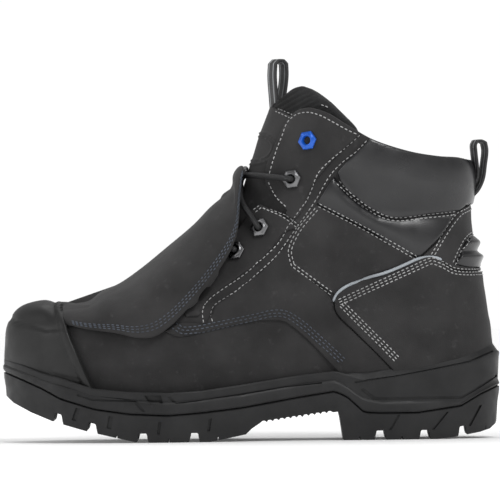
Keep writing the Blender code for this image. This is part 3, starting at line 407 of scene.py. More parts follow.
def outward(piece, merge=True):
    """All faces of a closed mesh turned outwards."""
    bpy.ops.object.select_all(action="DESELECT")
    bpy.context.view_layer.objects.active = piece
    piece.select_set(True)
    bpy.ops.object.mode_set(mode="EDIT")
    bpy.ops.mesh.select_all(action="SELECT")
    if merge:
        bpy.ops.mesh.remove_doubles(threshold=1e-7)
    bpy.ops.mesh.normals_make_consistent(inside=False)
    bpy.ops.object.mode_set(mode="OBJECT")
    piece.select_set(False)


def crisp(piece, degrees):
    """Smooth shading that keeps the edges that turn by more than an angle."""
    bpy.context.view_layer.objects.active = piece
    piece.select_set(True)
    bpy.ops.object.shade_smooth_by_angle(angle=math.radians(degrees))
    piece.select_set(False)


RING_SHARES = (0.12, 0.4, 0.8)
ROUNDING_MOST = 0.0035
UV_SCALE = 10


def wrap_piece(name, finish, within, high, low, without=(), spacing=0.0016, rounding=0.0006,
               closed=False, inner_side=False, lining=None):
    """Pattern laid on the last from low to high, with its edge rounded.

    high and low give heights above the last, and rounding is a length or gives one. closed
    makes a back as well, and lining is the back's finish.
    """
    round_most = ROUNDING_MOST if callable(rounding) else float(rounding)
    rings = [round_most * share for share in RING_SHARES]
    flat, faces = flat_mesh(list(within), list(without), spacing, rings)
    turn, row = from_flat(flat)
    if inner_side:
        turn = -turn
        faces = faces[:, ::-1]
    points, normals = last_points(turn, row), last_normals(turn, row)
    along, up = side_view(points)
    border = border_edges(faces)
    steps = np.arange(6)[None, :, None] / 6
    edge_points = points[border[:, 0]][:, None] * (1 - steps) + points[border[:, 1]][:, None] * steps
    away = distances(points, tree_of(edge_points.reshape(-1, 3)))
    top = high(along, up)
    bottom = low(along, up)
    soft = rounding(along, up) if callable(rounding) else np.full(len(points), rounding)
    if closed:
        soft = np.minimum(soft, (top - bottom) * 0.48)
    drop = edge_drop(away, soft)
    count = len(points)
    shell = [points + normals * (top - drop)[:, None]]
    corner = shell[0][faces[:, 0]]
    ways = np.cross(shell[0][faces[:, 1]] - corner, shell[0][faces[:, 2]] - corner)
    flipped = (ways * normals[faces[:, 0]]).sum() <= 0
    sides = (faces[:, ::-1] if flipped else faces).tolist()
    if closed:
        shell.append(points + normals * (bottom + drop)[:, None])
        under = [(c + count, b + count, a + count) for a, b, c in sides]
    else:
        shell.append(points + normals * np.minimum(bottom, top - soft)[:, None])
        under = []
    for a, b in border:
        sides.append((a, b, b + count, a + count) if flipped else (b, a, a + count, b + count))
    all_points = np.concatenate(shell)
    uv = np.concatenate((flat, flat)) * UV_SCALE
    all_faces = sides + under
    used = np.unique(np.concatenate([np.ravel(face) for face in all_faces]))
    renumber = np.full(len(all_points), -1)
    renumber[used] = np.arange(len(used))
    all_faces = [tuple(renumber[list(face)]) for face in all_faces]
    piece = new_mesh(name, all_points[used], all_faces, finish, uv[used])
    if lining is not None:
        piece.data.materials.append(lining)
        slots = np.zeros(len(piece.data.polygons), np.int32)
        slots[-len(under):] = 1
        piece.data.polygons.foreach_set("material_index", slots)
    return piece

# %% [markdown]
# The finishes. The boot is almost black all over, so what tells the materials apart is their
# gloss and their grain: dry nubuck with lighter rubbed patches, smooth glossy leather on the
# collar, moulded rubber, woven lining, braided lace, painted and plain metal. Each one is a
# Principled shader whose colour, roughness and bump come from noise in object space, so nothing
# needs unwrapping. Scanned textures would be another way, but they tie the boot to image files.

# %% Finishes
def set_span(node, *values):
    """The four ends of a Map Range node."""
    for socket, value in zip(("From Min", "From Max", "To Min", "To Max"), values):
        node.inputs[socket].default_value = value


def add_bump(tree, height, strength, depth):
    """The shader's normal raised by a height."""
    raised = tree.nodes.new("ShaderNodeBump")
    raised.inputs["Strength"].default_value = strength
    raised.inputs["Distance"].default_value = depth
    tree.links.new(height, raised.inputs["Height"])
    tree.links.new(raised.outputs["Normal"], tree.nodes["Principled BSDF"].inputs["Normal"])


def finish_of(name, dark, light, rough, patch=35.0, grain=900.0, bump=0.12, depth=0.0004, metallic=0.0,
              rough_spread=0.08, coat=0.0, sheen=0.0, grain_kind="noise", scuff=None, shine=0.5):
    """Mottled colour, uneven roughness and a fine bump.

    patch and grain are how fine the mottling and the bump are, and scuff lays a lighter colour
    in rubbed streaks.
    """
    made = bpy.data.materials.new(name)
    made.use_nodes = True
    tree = made.node_tree
    shader = tree.nodes["Principled BSDF"]
    shader.inputs["Metallic"].default_value = metallic
    shader.inputs["Coat Weight"].default_value = coat
    shader.inputs["Coat Roughness"].default_value = 0.25
    shader.inputs["Sheen Weight"].default_value = sheen
    shader.inputs["Specular IOR Level"].default_value = shine
    shader.inputs["Sheen Roughness"].default_value = 0.6
    place = tree.nodes.new("ShaderNodeTexCoord").outputs["Object"]

    def noise(scale, detail=4.0, rough_part=0.55):
        node = tree.nodes.new("ShaderNodeTexNoise")
        node.inputs["Scale"].default_value = scale
        node.inputs["Detail"].default_value = detail
        node.inputs["Roughness"].default_value = rough_part
        tree.links.new(place, node.inputs["Vector"])
        return node.outputs["Fac"]

    def spread(source, low, high, from_low=0.35, from_high=0.65):
        node = tree.nodes.new("ShaderNodeMapRange")
        set_span(node, from_low, from_high, low, high)
        tree.links.new(source, node.inputs["Value"])
        return node.outputs["Result"]

    def blend(factor, first, second):
        node = tree.nodes.new("ShaderNodeMix")
        node.data_type = "RGBA"
        tree.links.new(factor, node.inputs["Factor"])
        for socket, value in ((node.inputs[6], first), (node.inputs[7], second)):
            if isinstance(value, tuple):
                socket.default_value = (*value, 1)
            else:
                tree.links.new(value, socket)
        return node.outputs[2]

    colour = blend(spread(noise(patch), 0, 1), dark, light)
    if scuff is not None:
        streaks = spread(noise(patch * 6, 8.0, 0.7), 0, 0.7, 0.58, 0.78)
        colour = blend(streaks, colour, scuff)
    tree.links.new(colour, shader.inputs["Base Color"])
    uneven = spread(noise(patch * 2.3, 6.0), rough - rough_spread, rough + rough_spread)
    tree.links.new(uneven, shader.inputs["Roughness"])
    if grain_kind == "cells":
        cells = tree.nodes.new("ShaderNodeTexVoronoi")
        cells.feature = "SMOOTH_F1"
        cells.inputs["Scale"].default_value = grain
        tree.links.new(place, cells.inputs["Vector"])
        height = cells.outputs["Distance"]
    else:
        height = noise(grain, 3.0, 0.6)
    add_bump(tree, height, bump, depth)
    return made


def woven(name, dark, light, rough, threads, bump=0.6, depth=0.0003, slant=0.5):
    """Crossing threads on the pattern's own lengths, for lining, lace and webbing."""
    made = finish_of(name, dark, light, rough, grain=1500.0)
    tree = made.node_tree
    place = tree.nodes.new("ShaderNodeTexCoord").outputs["UV"]
    heights = []
    for angle in (slant, -slant):
        turned = tree.nodes.new("ShaderNodeMapping")
        turned.inputs["Rotation"].default_value = (0, 0, angle)
        wave = tree.nodes.new("ShaderNodeTexWave")
        wave.inputs["Scale"].default_value = threads
        tree.links.new(place, turned.inputs["Vector"])
        tree.links.new(turned.outputs["Vector"], wave.inputs["Vector"])
        heights.append(wave.outputs["Fac"])
    both = tree.nodes.new("ShaderNodeMath")
    both.operation = "MULTIPLY"
    tree.links.new(heights[0], both.inputs[0])
    tree.links.new(heights[1], both.inputs[1])
    add_bump(tree, both.outputs[0], bump, depth)
    return made


NUBUCK = finish_of(
    "nubuck", (0.015, 0.0145, 0.0148), (0.027, 0.0262, 0.0266), 0.74, patch=28, grain=1300,
    bump=0.3, sheen=0.06, scuff=(0.055, 0.053, 0.054), shine=0.22)
SMOOTH_LEATHER = finish_of(
    "smooth_leather", (0.006, 0.006, 0.007), (0.011, 0.011, 0.012), 0.34, patch=40,
    grain=1100, bump=0.12, grain_kind="cells", coat=0.35, shine=0.4)
SOLE_RUBBER = finish_of(
    "sole_rubber", (0.009, 0.009, 0.0095), (0.015, 0.015, 0.0155), 0.50, patch=45, grain=700,
    bump=0.12, shine=0.32)
BUMPER_RUBBER = finish_of(
    "bumper_rubber", (0.010, 0.010, 0.010), (0.017, 0.017, 0.017), 0.46, patch=30,
    grain=1400, bump=0.2, shine=0.32)
THREAD_WHITE = finish_of(
    "thread_white", (0.26, 0.26, 0.26), (0.42, 0.42, 0.42), 0.7, grain=2500, bump=0.3)
THREAD_BLUE = finish_of(
    "thread_blue", (0.040, 0.048, 0.062), (0.070, 0.082, 0.105), 0.7, grain=2500, bump=0.3)
PIPING = finish_of("piping", (0.24, 0.26, 0.28), (0.36, 0.39, 0.42), 0.4, grain=2000, bump=0.2)
GUNMETAL = finish_of(
    "gunmetal", (0.13, 0.13, 0.135), (0.22, 0.22, 0.225), 0.30, metallic=1.0, grain=1500, bump=0.05)
BLUE_METAL = finish_of(
    "blue_metal", (0.003, 0.085, 0.48), (0.006, 0.12, 0.60), 0.33, metallic=0.35, grain=1500,
    bump=0.05, coat=0.3)
LINING = woven(
    "mesh_lining", (0.003, 0.003, 0.003), (0.022, 0.022, 0.023), 0.85, 60, bump=1.0, depth=0.0006,
    slant=0.78)
INSOLE_FELT = finish_of(
    "insole_felt", (0.025, 0.025, 0.027), (0.045, 0.045, 0.048), 0.9, grain=1600, bump=0.4)
LACE = woven("lace_cord", (0.004, 0.004, 0.0045), (0.011, 0.011, 0.012), 0.48, 90, slant=0.6)
WEBBING = woven("webbing", (0.010, 0.010, 0.0105), (0.020, 0.020, 0.021), 0.62, 70, slant=0.25)
WEBBING_STRIPE = woven("webbing_stripe", (0.20, 0.21, 0.22), (0.32, 0.33, 0.34), 0.6, 70, slant=0.25)
print("finishes:", len(bpy.data.materials))

# %% [markdown]
# The upper is the foundation: one wall from the sole to the collar, open at the throat, with the
# padded lining on its inside. On top of it lie the sewn pieces. A real upper is not smooth, so the
# soft folds that the foot has pressed in are given as a short table of troughs and ridges:
# two ends in the side view, a width and a depth. Sculpting would do too, but could not be read.

# %% Folds and seams pressed into the leather
GAP = 0.0003
WALL = 0.0024
COLLAR_WALL = 0.0075
OVERLAY = 0.0013
FOLDS = (
    # along, up of one end, along, up of the other, width in mm, depth in mm
    (0.60, 0.36, 0.80, 0.31, 5.0, 0.5),
    (0.66, 0.30, 0.84, 0.27, 4.0, -0.4),
    (0.42, 0.60, 0.33, 0.40, 7.0, 0.5),
    (0.50, 0.52, 0.40, 0.35, 8.0, -0.5),
    (0.30, 0.36, 0.20, 0.45, 8.0, 0.4),
    (0.28, 0.62, 0.22, 0.72, 6.0, 0.5),
    (0.33, 0.66, 0.26, 0.60, 5.0, -0.4),
    (0.36, 1.05, 0.32, 0.90, 6.0, 0.4),
    (0.55, 0.30, 0.48, 0.24, 6.0, 0.5),
)


def segment_distance(along, up, ends):
    """Distance in metres from a straight line in the side view."""
    start = np.array(ends[:2]) * (LENGTH, HEIGHT)
    way = np.array(ends[2:]) * (LENGTH, HEIGHT) - start
    place = np.stack((along * LENGTH, up * HEIGHT), axis=1) - start
    share = np.clip(place @ way / (way @ way), 0, 1)
    return np.linalg.norm(place - share[:, None] * way, axis=1)


def folds(along, up):
    """Height in metres that the folds add, below zero in a trough."""
    total = np.zeros(len(along))
    for *ends, width, depth in FOLDS:
        total -= depth / 1000 * bell(segment_distance(along, up, ends), width / 1000)
    return total


def line_distance(along, up, table):
    """Distance in metres from a smooth side view line."""
    line = smooth_line(table, 0.0008) * (LENGTH, HEIGHT)
    tree = tree_of([(x, y, 0) for x, y in line])
    return distances([(a * LENGTH, b * HEIGHT, 0) for a, b in zip(along, up)], tree)


SEAM_LINES = {
    "strip_inner": (
        (0.275, 1.110), (0.309, 1.058), (0.331, 1.025), (0.359, 0.975), (0.385, 0.873), (0.424, 0.772),
        (0.441, 0.722), (0.476, 0.660), (0.518, 0.597), (0.564, 0.542), (0.586, 0.510), (0.596, 0.477),
        (0.594, 0.425),
    ),
    "strip_outer": (
        (0.262, 1.090), (0.285, 1.046), (0.309, 1.014), (0.337, 0.964), (0.367, 0.873), (0.418, 0.743),
        (0.446, 0.674), (0.487, 0.606), (0.530, 0.541), (0.574, 0.491), (0.580, 0.459), (0.576, 0.428),
    ),
    "eyestay_top": (
        (0.461, 0.945), (0.454, 0.991), (0.442, 1.057), (0.430, 1.110), (0.420, 1.155), (0.4016, 1.183),
        (0.3795, 1.190), (0.355, 1.178), (0.331, 1.154), (0.303, 1.125), (0.278, 1.104),
    ),
    "eyestay_front": ((0.461, 0.945), (0.444, 0.882), (0.419, 0.838)),
    "lower_top": ((0.490, 0.824), (0.474, 0.846), (0.430, 0.808), (0.402, 0.766)),
    "ankle_top": ((0.3655, 0.852), (0.271, 0.761), (0.169, 0.652)),
    "ankle_left": ((0.3655, 0.848), (0.4036, 0.765), (0.423, 0.6885), (0.418, 0.634), (0.335, 0.521)),
    "collar_seam": (
        (0.323, 0.945), (0.291, 0.886), (0.239, 0.8215), (0.211, 0.806), (0.159, 0.8125), (0.085, 0.826),
    ),
    "stay_front": ((0.058, 0.850), (0.066, 0.838), (0.080, 0.825), (0.139, 0.668)),
    "flex_window": ((0.030, 0.752), (0.058, 0.747), (0.070, 0.729), (0.098, 0.629)),
    "counter_top": (
        (0.325, 0.493), (0.225, 0.572), (0.139, 0.640), (0.1185, 0.626), (0.096, 0.604), (0.030, 0.598),
    ),
    "counter_front": ((0.325, 0.491), (0.209, 0.276)),
    "quarter_edge": (
        (0.661, 0.409), (0.641, 0.386), (0.6145, 0.386), (0.564, 0.403), (0.488, 0.433), (0.456, 0.446),
        (0.435, 0.444), (0.408, 0.413), (0.370, 0.352), (0.322, 0.270),
    ),
}


def groove(along, up, names, width=0.0009, depth=0.00025):
    """Shallow furrow that a row of stitches pulls into the leather."""
    total = np.zeros(len(along))
    for name in names:
        total -= depth * bell(line_distance(along, up, SEAM_LINES[name]), width)
    return total


print("folds:", len(FOLDS), "seam lines:", len(SEAM_LINES))

# %% [markdown]
# The upper's pattern runs once round the foot. Its top edge is the throat, the ankle and the
# collar as the side view shows them, mirrored to the inner side. The wall is thin leather in
# front, and grows to a soft padded roll at the collar.

# %% Upper
TOP_LINE = (
    (0.637, 0.667), (0.606, 0.645), (0.574, 0.666), (0.540, 0.724), (0.518, 0.774), (0.502, 0.825),
    (0.476, 0.857),
    (0.430, 0.814), (0.424, 0.836), (0.466, 0.937), (0.464, 0.992), (0.444, 1.082), (0.416, 1.173),
    (0.400, 1.198),
    (0.378, 1.207), (0.345, 1.190), (0.301, 1.141), (0.251, 1.089), (0.175, 1.044), (0.118, 1.027),
    (0.082, 1.022),
    (0.050, 1.004),
)
FEATHER_ROW = 0.33
FEATHER_STEPS = 420


def below_top_line():
    """Flat outline of all that lies below the top line, from the toe round the back to the toe."""
    line = smooth_line(TOP_LINE)
    turn, row, _ = to_last(line[:, 0], line[:, 1])
    turn = np.concatenate(([FRONT], turn[:-1], [BACK]))
    row = np.concatenate(([row[0]], row))
    half = to_flat(turn, row)
    other = half[::-1].copy()
    other[:, 0] *= -1
    bottom = np.linspace(-FRONT, FRONT, FEATHER_STEPS)
    rim = to_flat(bottom, np.full(FEATHER_STEPS, FEATHER_ROW))
    return np.concatenate((half, other[1:], rim))


def wall_offset(along, up):
    """Inside of the wall, which is thicker in the padded collar."""
    return -(WALL + (COLLAR_WALL - WALL) * ease(0.270, 0.215, along) * ease(0.72, 0.86, up))


def collar_rounding(along, up):
    """Roundness of the top edge, fuller on the collar than on the throat."""
    return 0.0010 + 0.0022 * ease(0.30, 0.22, along) * ease(0.95, 1.0, up)


BELOW_TOP = below_top_line()
upper = wrap_piece(
    "upper", NUBUCK, [BELOW_TOP], folds, wall_offset,
    spacing=0.0021, rounding=collar_rounding, closed=True, lining=LINING)
print("upper triangles:", len(upper.data.polygons))

# %% [markdown]
# The sewn pieces. Each lies on the upper with its own thickness and ends in a rounded edge, as
# skived leather does. The inner side takes the same patterns with the turn reversed. Along each
# row of stitches the leather is drawn down a little, which is what makes a seam read as sewn.

# %% Outlines of the sewn pieces
HEEL_COUNTER = (
    (0.190, 0.16), (0.199, 0.214), (0.215, 0.251), (0.291, 0.393), (0.329, 0.468), (0.332, 0.497),
    (0.327, 0.526),
    (0.305, 0.555), (0.238, 0.605), (0.171, 0.647), (0.150, 0.658), (0.133, 0.659), (0.117, 0.637),
    (0.104, 0.620),
    (0.088, 0.609), (0.068, 0.605), (-0.02, 0.612), (-0.02, 0.16),
)
QUARTER = (
    (0.671, 0.402), (0.645, 0.383), (0.600, 0.397), (0.476, 0.438), (0.434, 0.434), (0.400, 0.389),
    (0.327, 0.250),
    (0.290, 0.170), (0.190, 0.170), (0.216, 0.247), (0.292, 0.389), (0.331, 0.464), (0.336, 0.503),
    (0.400, 0.615),
    (0.422, 0.659), (0.420, 0.707), (0.409, 0.757), (0.420, 0.721), (0.444, 0.671), (0.474, 0.615),
    (0.525, 0.551),
    (0.556, 0.510), (0.576, 0.483), (0.580, 0.459), (0.590, 0.425), (0.640, 0.430),
)
ANKLE_PANEL = (
    (0.3655, 0.855), (0.271, 0.7638), (0.1665, 0.6565), (0.171, 0.649), (0.238, 0.607), (0.305, 0.557),
    (0.329, 0.527),
    (0.4177, 0.628), (0.4255, 0.6885), (0.407, 0.766),
)
EYESTAY_UPPER = (
    (0.260, 1.140), (0.275, 1.112), (0.324, 1.033), (0.351, 0.978), (0.367, 0.942), (0.387, 0.870),
    (0.398, 0.826),
    (0.408, 0.803), (0.422, 0.812), (0.430, 0.835), (0.446, 0.882), (0.476, 0.963), (0.500, 1.20),
    (0.420, 1.30),
    (0.300, 1.24),
)
EYESTAY_LOWER = (
    (0.476, 0.864), (0.430, 0.811), (0.404, 0.772), (0.428, 0.758), (0.456, 0.698), (0.487, 0.642),
    (0.528, 0.589),
    (0.566, 0.542), (0.586, 0.515), (0.594, 0.483), (0.604, 0.455), (0.629, 0.455), (0.649, 0.551),
    (0.645, 0.680),
    (0.560, 0.800),
)
COLLAR_PAD = (
    (0.257, 1.093), (0.303, 1.014), (0.323, 0.974), (0.319, 0.945), (0.305, 0.908), (0.273, 0.857),
    (0.243, 0.823),
    (0.218, 0.806), (0.191, 0.806), (0.135, 0.819), (0.080, 0.829), (0.070, 0.849), (-0.02, 0.859),
    (-0.02, 1.20),
    (0.20, 1.20),
)
COLLAR_CRESCENT = (
    (0.331, 0.956), (0.323, 0.938), (0.309, 0.901), (0.277, 0.850), (0.245, 0.816), (0.218, 0.799),
    (0.191, 0.799),
    (0.135, 0.812), (0.092, 0.817), (0.122, 0.737), (0.161, 0.661), (0.171, 0.660), (0.271, 0.766),
    (0.3655, 0.857),
)
BACK_STAY = (
    (-0.02, 0.856), (0.054, 0.852), (0.074, 0.838), (0.088, 0.804), (0.120, 0.726), (0.157, 0.661),
    (0.133, 0.661),
    (0.116, 0.639), (0.102, 0.622), (0.086, 0.613), (0.066, 0.608), (-0.02, 0.614),
)
FLEX_PAD = (
    (-0.02, 0.739), (0.060, 0.734), (0.074, 0.703), (0.082, 0.667), (0.092, 0.632), (0.066, 0.622),
    (-0.02, 0.626),
)
BUMPER = (
    (0.886, 0.556), (0.880, 0.508), (0.869, 0.439), (0.845, 0.329), (0.811, 0.190), (1.05, 0.190),
    (1.05, 0.60),
    (0.886, 0.60),
)
TONGUE_FACING = (
    (0.490, 1.240), (0.458, 1.217), (0.414, 1.175), (0.394, 1.158), (0.400, 1.056), (0.414, 0.929),
    (0.432, 0.820),
    (0.476, 0.708), (0.524, 0.629), (0.590, 0.568), (0.645, 0.551), (0.700, 0.600), (0.640, 0.800),
)
TONGUE_PAD = (
    (0.490, 1.235), (0.456, 1.248), (0.438, 1.272), (0.420, 1.290), (0.404, 1.296), (0.386, 1.281),
    (0.363, 1.253),
    (0.339, 1.220), (0.315, 1.183), (0.290, 1.140), (0.277, 1.100), (0.295, 1.020), (0.325, 0.927),
    (0.375, 0.793),
    (0.436, 0.682), (0.500, 0.606), (0.570, 0.549), (0.641, 0.525), (0.700, 0.580), (0.640, 0.800),
)
TUCK = -0.0004
COUNTER_THICK = 0.0024
PANEL_THICK = OVERLAY - 0.0003


def sewn(thick, seams):
    """Top of a sewn piece: its thickness, the folds below it and the furrows of its seams."""
    return lambda along, up: GAP + thick + folds(along, up) + groove(along, up, seams)


def tucked(along, up):
    """Underside of a sewn piece, sunk a little into what lies below it."""
    return np.full(len(along), TUCK)


def both_sides(name, finish, within, high, **how):
    """The outer and the inner piece of one pattern."""
    return [
        wrap_piece(f"{name}_{side}", finish, within, high, tucked, inner_side=side == "inner", **how)
        for side in ("outer", "inner")
    ]


COUNTER_LOOP = pattern(HEEL_COUNTER, "back")
STAY_LOOP = pattern(BACK_STAY, "back")
FLEX_LOOP = pattern(FLEX_PAD, "back")

quarters = both_sides(
    "quarter", NUBUCK, [pattern(QUARTER)],
    sewn(OVERLAY, ("quarter_edge", "strip_inner", "strip_outer", "ankle_left")), spacing=0.0014)
ankles = both_sides(
    "ankle_panel", NUBUCK, [pattern(ANKLE_PANEL)],
    sewn(PANEL_THICK, ("ankle_top", "ankle_left")), spacing=0.0014)
eyestays_upper = both_sides(
    "eyestay_upper", NUBUCK, [pattern(EYESTAY_UPPER), BELOW_TOP],
    sewn(OVERLAY, ("eyestay_top", "eyestay_front", "strip_inner")), spacing=0.0014)
eyestays_lower = both_sides(
    "eyestay_lower", NUBUCK, [pattern(EYESTAY_LOWER), BELOW_TOP],
    sewn(OVERLAY, ("lower_top", "strip_inner", "strip_outer")), spacing=0.0014)
counter = wrap_piece(
    "heel_counter", NUBUCK, [COUNTER_LOOP], sewn(COUNTER_THICK, ("counter_top", "counter_front")), tucked,
    spacing=0.0015)
stay = wrap_piece(
    "back_stay", NUBUCK, [STAY_LOOP], sewn(OVERLAY, ("stay_front", "flex_window")), tucked,
    without=[FLEX_LOOP], spacing=0.0014)
print("sewn leather pieces:", len(quarters + ankles + eyestays_upper + eyestays_lower) + 2)

# %% [markdown]
# The padded pieces: the collar's upper pad, the crescents below it and the flex pad over the
# heel tendon. Foam under thin glossy leather is full in the middle and pinched at its seams, with
# a few small puckers along them. Its swell is a function of the place between the two seams.
# Cloth with pressure would swell them as well, but its edge would leave the seam.

# %% Padded pieces
PUCKER_REACH = 0.004
CRESCENT_LOW = ((0.171, 0.271, 0.3655), (0.660, 0.766, 0.857))
CRESCENT_HIGH = ((0.20, 0.245, 0.277, 0.309, 0.331), (0.799, 0.816, 0.850, 0.901, 0.956))


def collar_swell(along, up):
    """Top of the collar's pad: full between its seams, puckered along the lower one."""
    low = 0.83 + 0.12 * ease(0.26, 0.32, along)
    high = 1.03 + 0.07 * ease(0.15, 0.27, along)
    share = np.clip((up - low) / (high - low), 0, 1)
    away = line_distance(along, up, SEAM_LINES["collar_seam"])
    pucker = 0.00022 * np.sin(along * LENGTH / 0.0011) * bell(away, PUCKER_REACH)
    dents = 0.00035 * np.sin(along * 41 + 1.3) * np.sin(up * 37)
    return GAP + 0.0011 + 0.0034 * 4 * share * (1 - share) + (pucker + dents) * share


def crescent_swell(along, up):
    """Top of a crescent: full between its lower and its upper edge."""
    low = np.interp(along, *CRESCENT_LOW)
    high = np.interp(along, *CRESCENT_HIGH)
    share = np.clip((up - low) / np.maximum(high - low, 0.02), 0, 1)
    away = line_distance(along, up, SEAM_LINES["ankle_top"])
    pucker = 0.00018 * np.sin(along * LENGTH / 0.0012) * bell(away, PUCKER_REACH)
    return GAP + 0.0010 + 0.0030 * (4 * share * (1 - share)) ** 0.8 + pucker


def flex_swell(along, up):
    """Top of the flex pad: two soft ribs over the tendon."""
    rib_high = bell(up - 0.708, 0.020)
    rib_low = bell(up - 0.655, 0.018)
    return GAP + OVERLAY + 0.0034 * np.maximum(rib_high, rib_low)


collar = wrap_piece(
    "collar_pad", SMOOTH_LEATHER, [pattern(COLLAR_PAD, "back"), BELOW_TOP], collar_swell, tucked,
    without=[STAY_LOOP], spacing=0.0012, rounding=0.0011)
crescents = both_sides(
    "collar_crescent", SMOOTH_LEATHER, [pattern(COLLAR_CRESCENT)], crescent_swell,
    without=[STAY_LOOP, COUNTER_LOOP], spacing=0.0012, rounding=0.0010)
flex = wrap_piece(
    "flex_pad", SMOOTH_LEATHER, [FLEX_LOOP], flex_swell, tucked, spacing=0.0009, rounding=0.0009)
print("padded pieces:", len([collar, *crescents, flex]))

# %% [markdown]
# The toe bumper is moulded rubber glued over the cap: a thick skin with a raised rim along its
# back edge and a dome over the toe, parted by a fine moulded line.

# %% Toe bumper
BUMPER_BACK = ((0.886, 0.60), (0.886, 0.556), (0.880, 0.508), (0.869, 0.439), (0.845, 0.329), (0.811, 0.190))
BUMPER_MARKS = (
    ((0.8976, 0.2645), (0.8795, 0.2824), (0.8534, 0.2873)), ((0.8960, 0.2600), (0.8690, 0.2470),
    (0.8414, 0.2357)),
)
BUMPER_SEAM = ((1.01, 0.452), (0.984, 0.447), (0.952, 0.425), (0.900, 0.402))
BUMPER_LEDGE = ((-1.0, -0.952, -0.900), (0.450, 0.425, 0.402))


def bumper_top(along, up):
    """Top of the bumper: a dome above a moulded line, a rim at its back and two short marks."""
    dome = 0.0030 * ease(0.43, 0.475, up) * ease(0.88, 0.915, along)
    rim = 0.0016 * (1 - ease(0.0034, 0.0046, line_distance(along, up, BUMPER_BACK)))
    seam = line_distance(along, up, BUMPER_SEAM)
    above_seam = (up - np.interp(-along, *BUMPER_LEDGE)) * HEIGHT
    ledge = 0.0009 * ease(-0.0008, 0.0008, above_seam)
    mark = sum(bell(line_distance(along, up, line), 0.0006) for line in BUMPER_MARKS)
    return GAP + 0.0036 + dome + rim - ledge - 0.0006 * bell(seam, 0.0008) - 0.0004 * mark


bumper = wrap_piece(
    "toe_bumper", BUMPER_RUBBER, [pattern(BUMPER, "front")], bumper_top, tucked,
    spacing=0.0012, rounding=0.0012)
print("bumper triangles:", len(bumper.data.polygons))

# %% [markdown]
# The tongue is two layers: a nubuck facing that carries a raised round patch, and behind it a
# padded mesh that swells into a ribbed hump above the throat.

# %% Tongue
FACING_DEPTH = 0.0016
PATCH_CENTRE = (0.497, 1.069)
PATCH_SIZE = (0.0152, 0.0100)


def facing_top(along, up):
    """Top of the facing, with the two raised rings of its patch."""
    across = (along - PATCH_CENTRE[0]) * LENGTH / PATCH_SIZE[0]
    away = np.hypot(across, (up - PATCH_CENTRE[1]) * HEIGHT / PATCH_SIZE[1])
    rings = bell(away - 1.0, 0.055) + bell(away - 0.80, 0.045)
    return -(WALL + GAP) + 0.0009 * rings


def pad_front(along, up):
    """Front of the tongue's pad, ribbed on its hump."""
    hump = ease(1.16, 1.22, up)
    slant = (along - 0.4) * LENGTH * 0.5 + (up - 1.2) * HEIGHT
    ribs = np.abs(np.sin(slant / 0.0011)) * 0.0008 * hump
    return -(WALL + 2 * GAP + FACING_DEPTH) + ribs


def facing_back(along, up):
    """Back of the facing."""
    return np.full(len(along), -(WALL + GAP + FACING_DEPTH))


def pad_rounding(along, up):
    """Roundness of the pad's edge."""
    return np.full(len(along), 0.0032)


def pad_back(along, up):
    """Back of the tongue's pad, fuller towards its top."""
    return -(WALL + 2 * GAP + FACING_DEPTH + 0.0070 + 0.0050 * ease(0.95, 1.15, up))


facing = wrap_piece(
    "tongue_facing", NUBUCK, [pattern(TONGUE_FACING, "front")], facing_top, facing_back,
    spacing=0.0010, rounding=0.0006, closed=True)
pad = wrap_piece(
    "tongue_pad", LINING, [pattern(TONGUE_PAD, "front")], pad_front, pad_back,
    spacing=0.0011, rounding=pad_rounding, closed=True)
print("tongue triangles:", len(facing.data.polygons) + len(pad.data.polygons))

# %% [markdown]
# The guard is a curved shield of thick leather over the instep, sewn at the toe and free at its
# top, where it ends in a rolled glossy lip. It has its own form: a ridge and a lower edge in the
# side view, joined by a bulging curve. It is kept clear of the laces below by pushing each point
# out of the last until there is room.

# %% Guard
GUARD = np.array((
    # ridge, ridge_up, edge, edge_up, half
    (0.885, 0.500, 0.871, 0.432, 0.40), (0.853, 0.506, 0.838, 0.415, 0.47),
    (0.825, 0.516, 0.801, 0.405, 0.50),
    (0.801, 0.551, 0.765, 0.395, 0.53), (0.761, 0.582, 0.727, 0.380, 0.545),
    (0.713, 0.640, 0.691, 0.385, 0.545),
    (0.665, 0.708, 0.657, 0.425, 0.525), (0.616, 0.783, 0.616, 0.500, 0.485),
    (0.580, 0.849, 0.578, 0.580, 0.43),
    (0.548, 0.896, 0.544, 0.670, 0.39), (0.535, 0.930, 0.527, 0.739, 0.36),
    (0.533, 0.966, 0.521, 0.800, 0.32),
    (0.525, 0.992, 0.518, 0.875, 0.26), (0.515, 1.002, 0.513, 0.955, 0.18),
    (0.507, 0.990, 0.507, 0.972, 0.12),
))
GUARD_STEPS = (170, 150)
PUSHES = 3
GUARD_DENTS = (
    # place along the guard, place across it, their widths, depth in mm
    (0.30, -0.35, 0.10, 0.22, 0.8),
    (0.42, -0.15, 0.08, 0.30, -0.6),
    (0.52, -0.45, 0.07, 0.20, 0.9),
    (0.62, -0.20, 0.06, 0.25, -0.5),
    (0.70, -0.50, 0.07, 0.18, 0.7),
    (0.36, 0.35, 0.10, 0.22, 0.8),
    (0.55, 0.40, 0.08, 0.22, -0.6),
    (0.22, 0.05, 0.06, 0.40, 0.5),
)


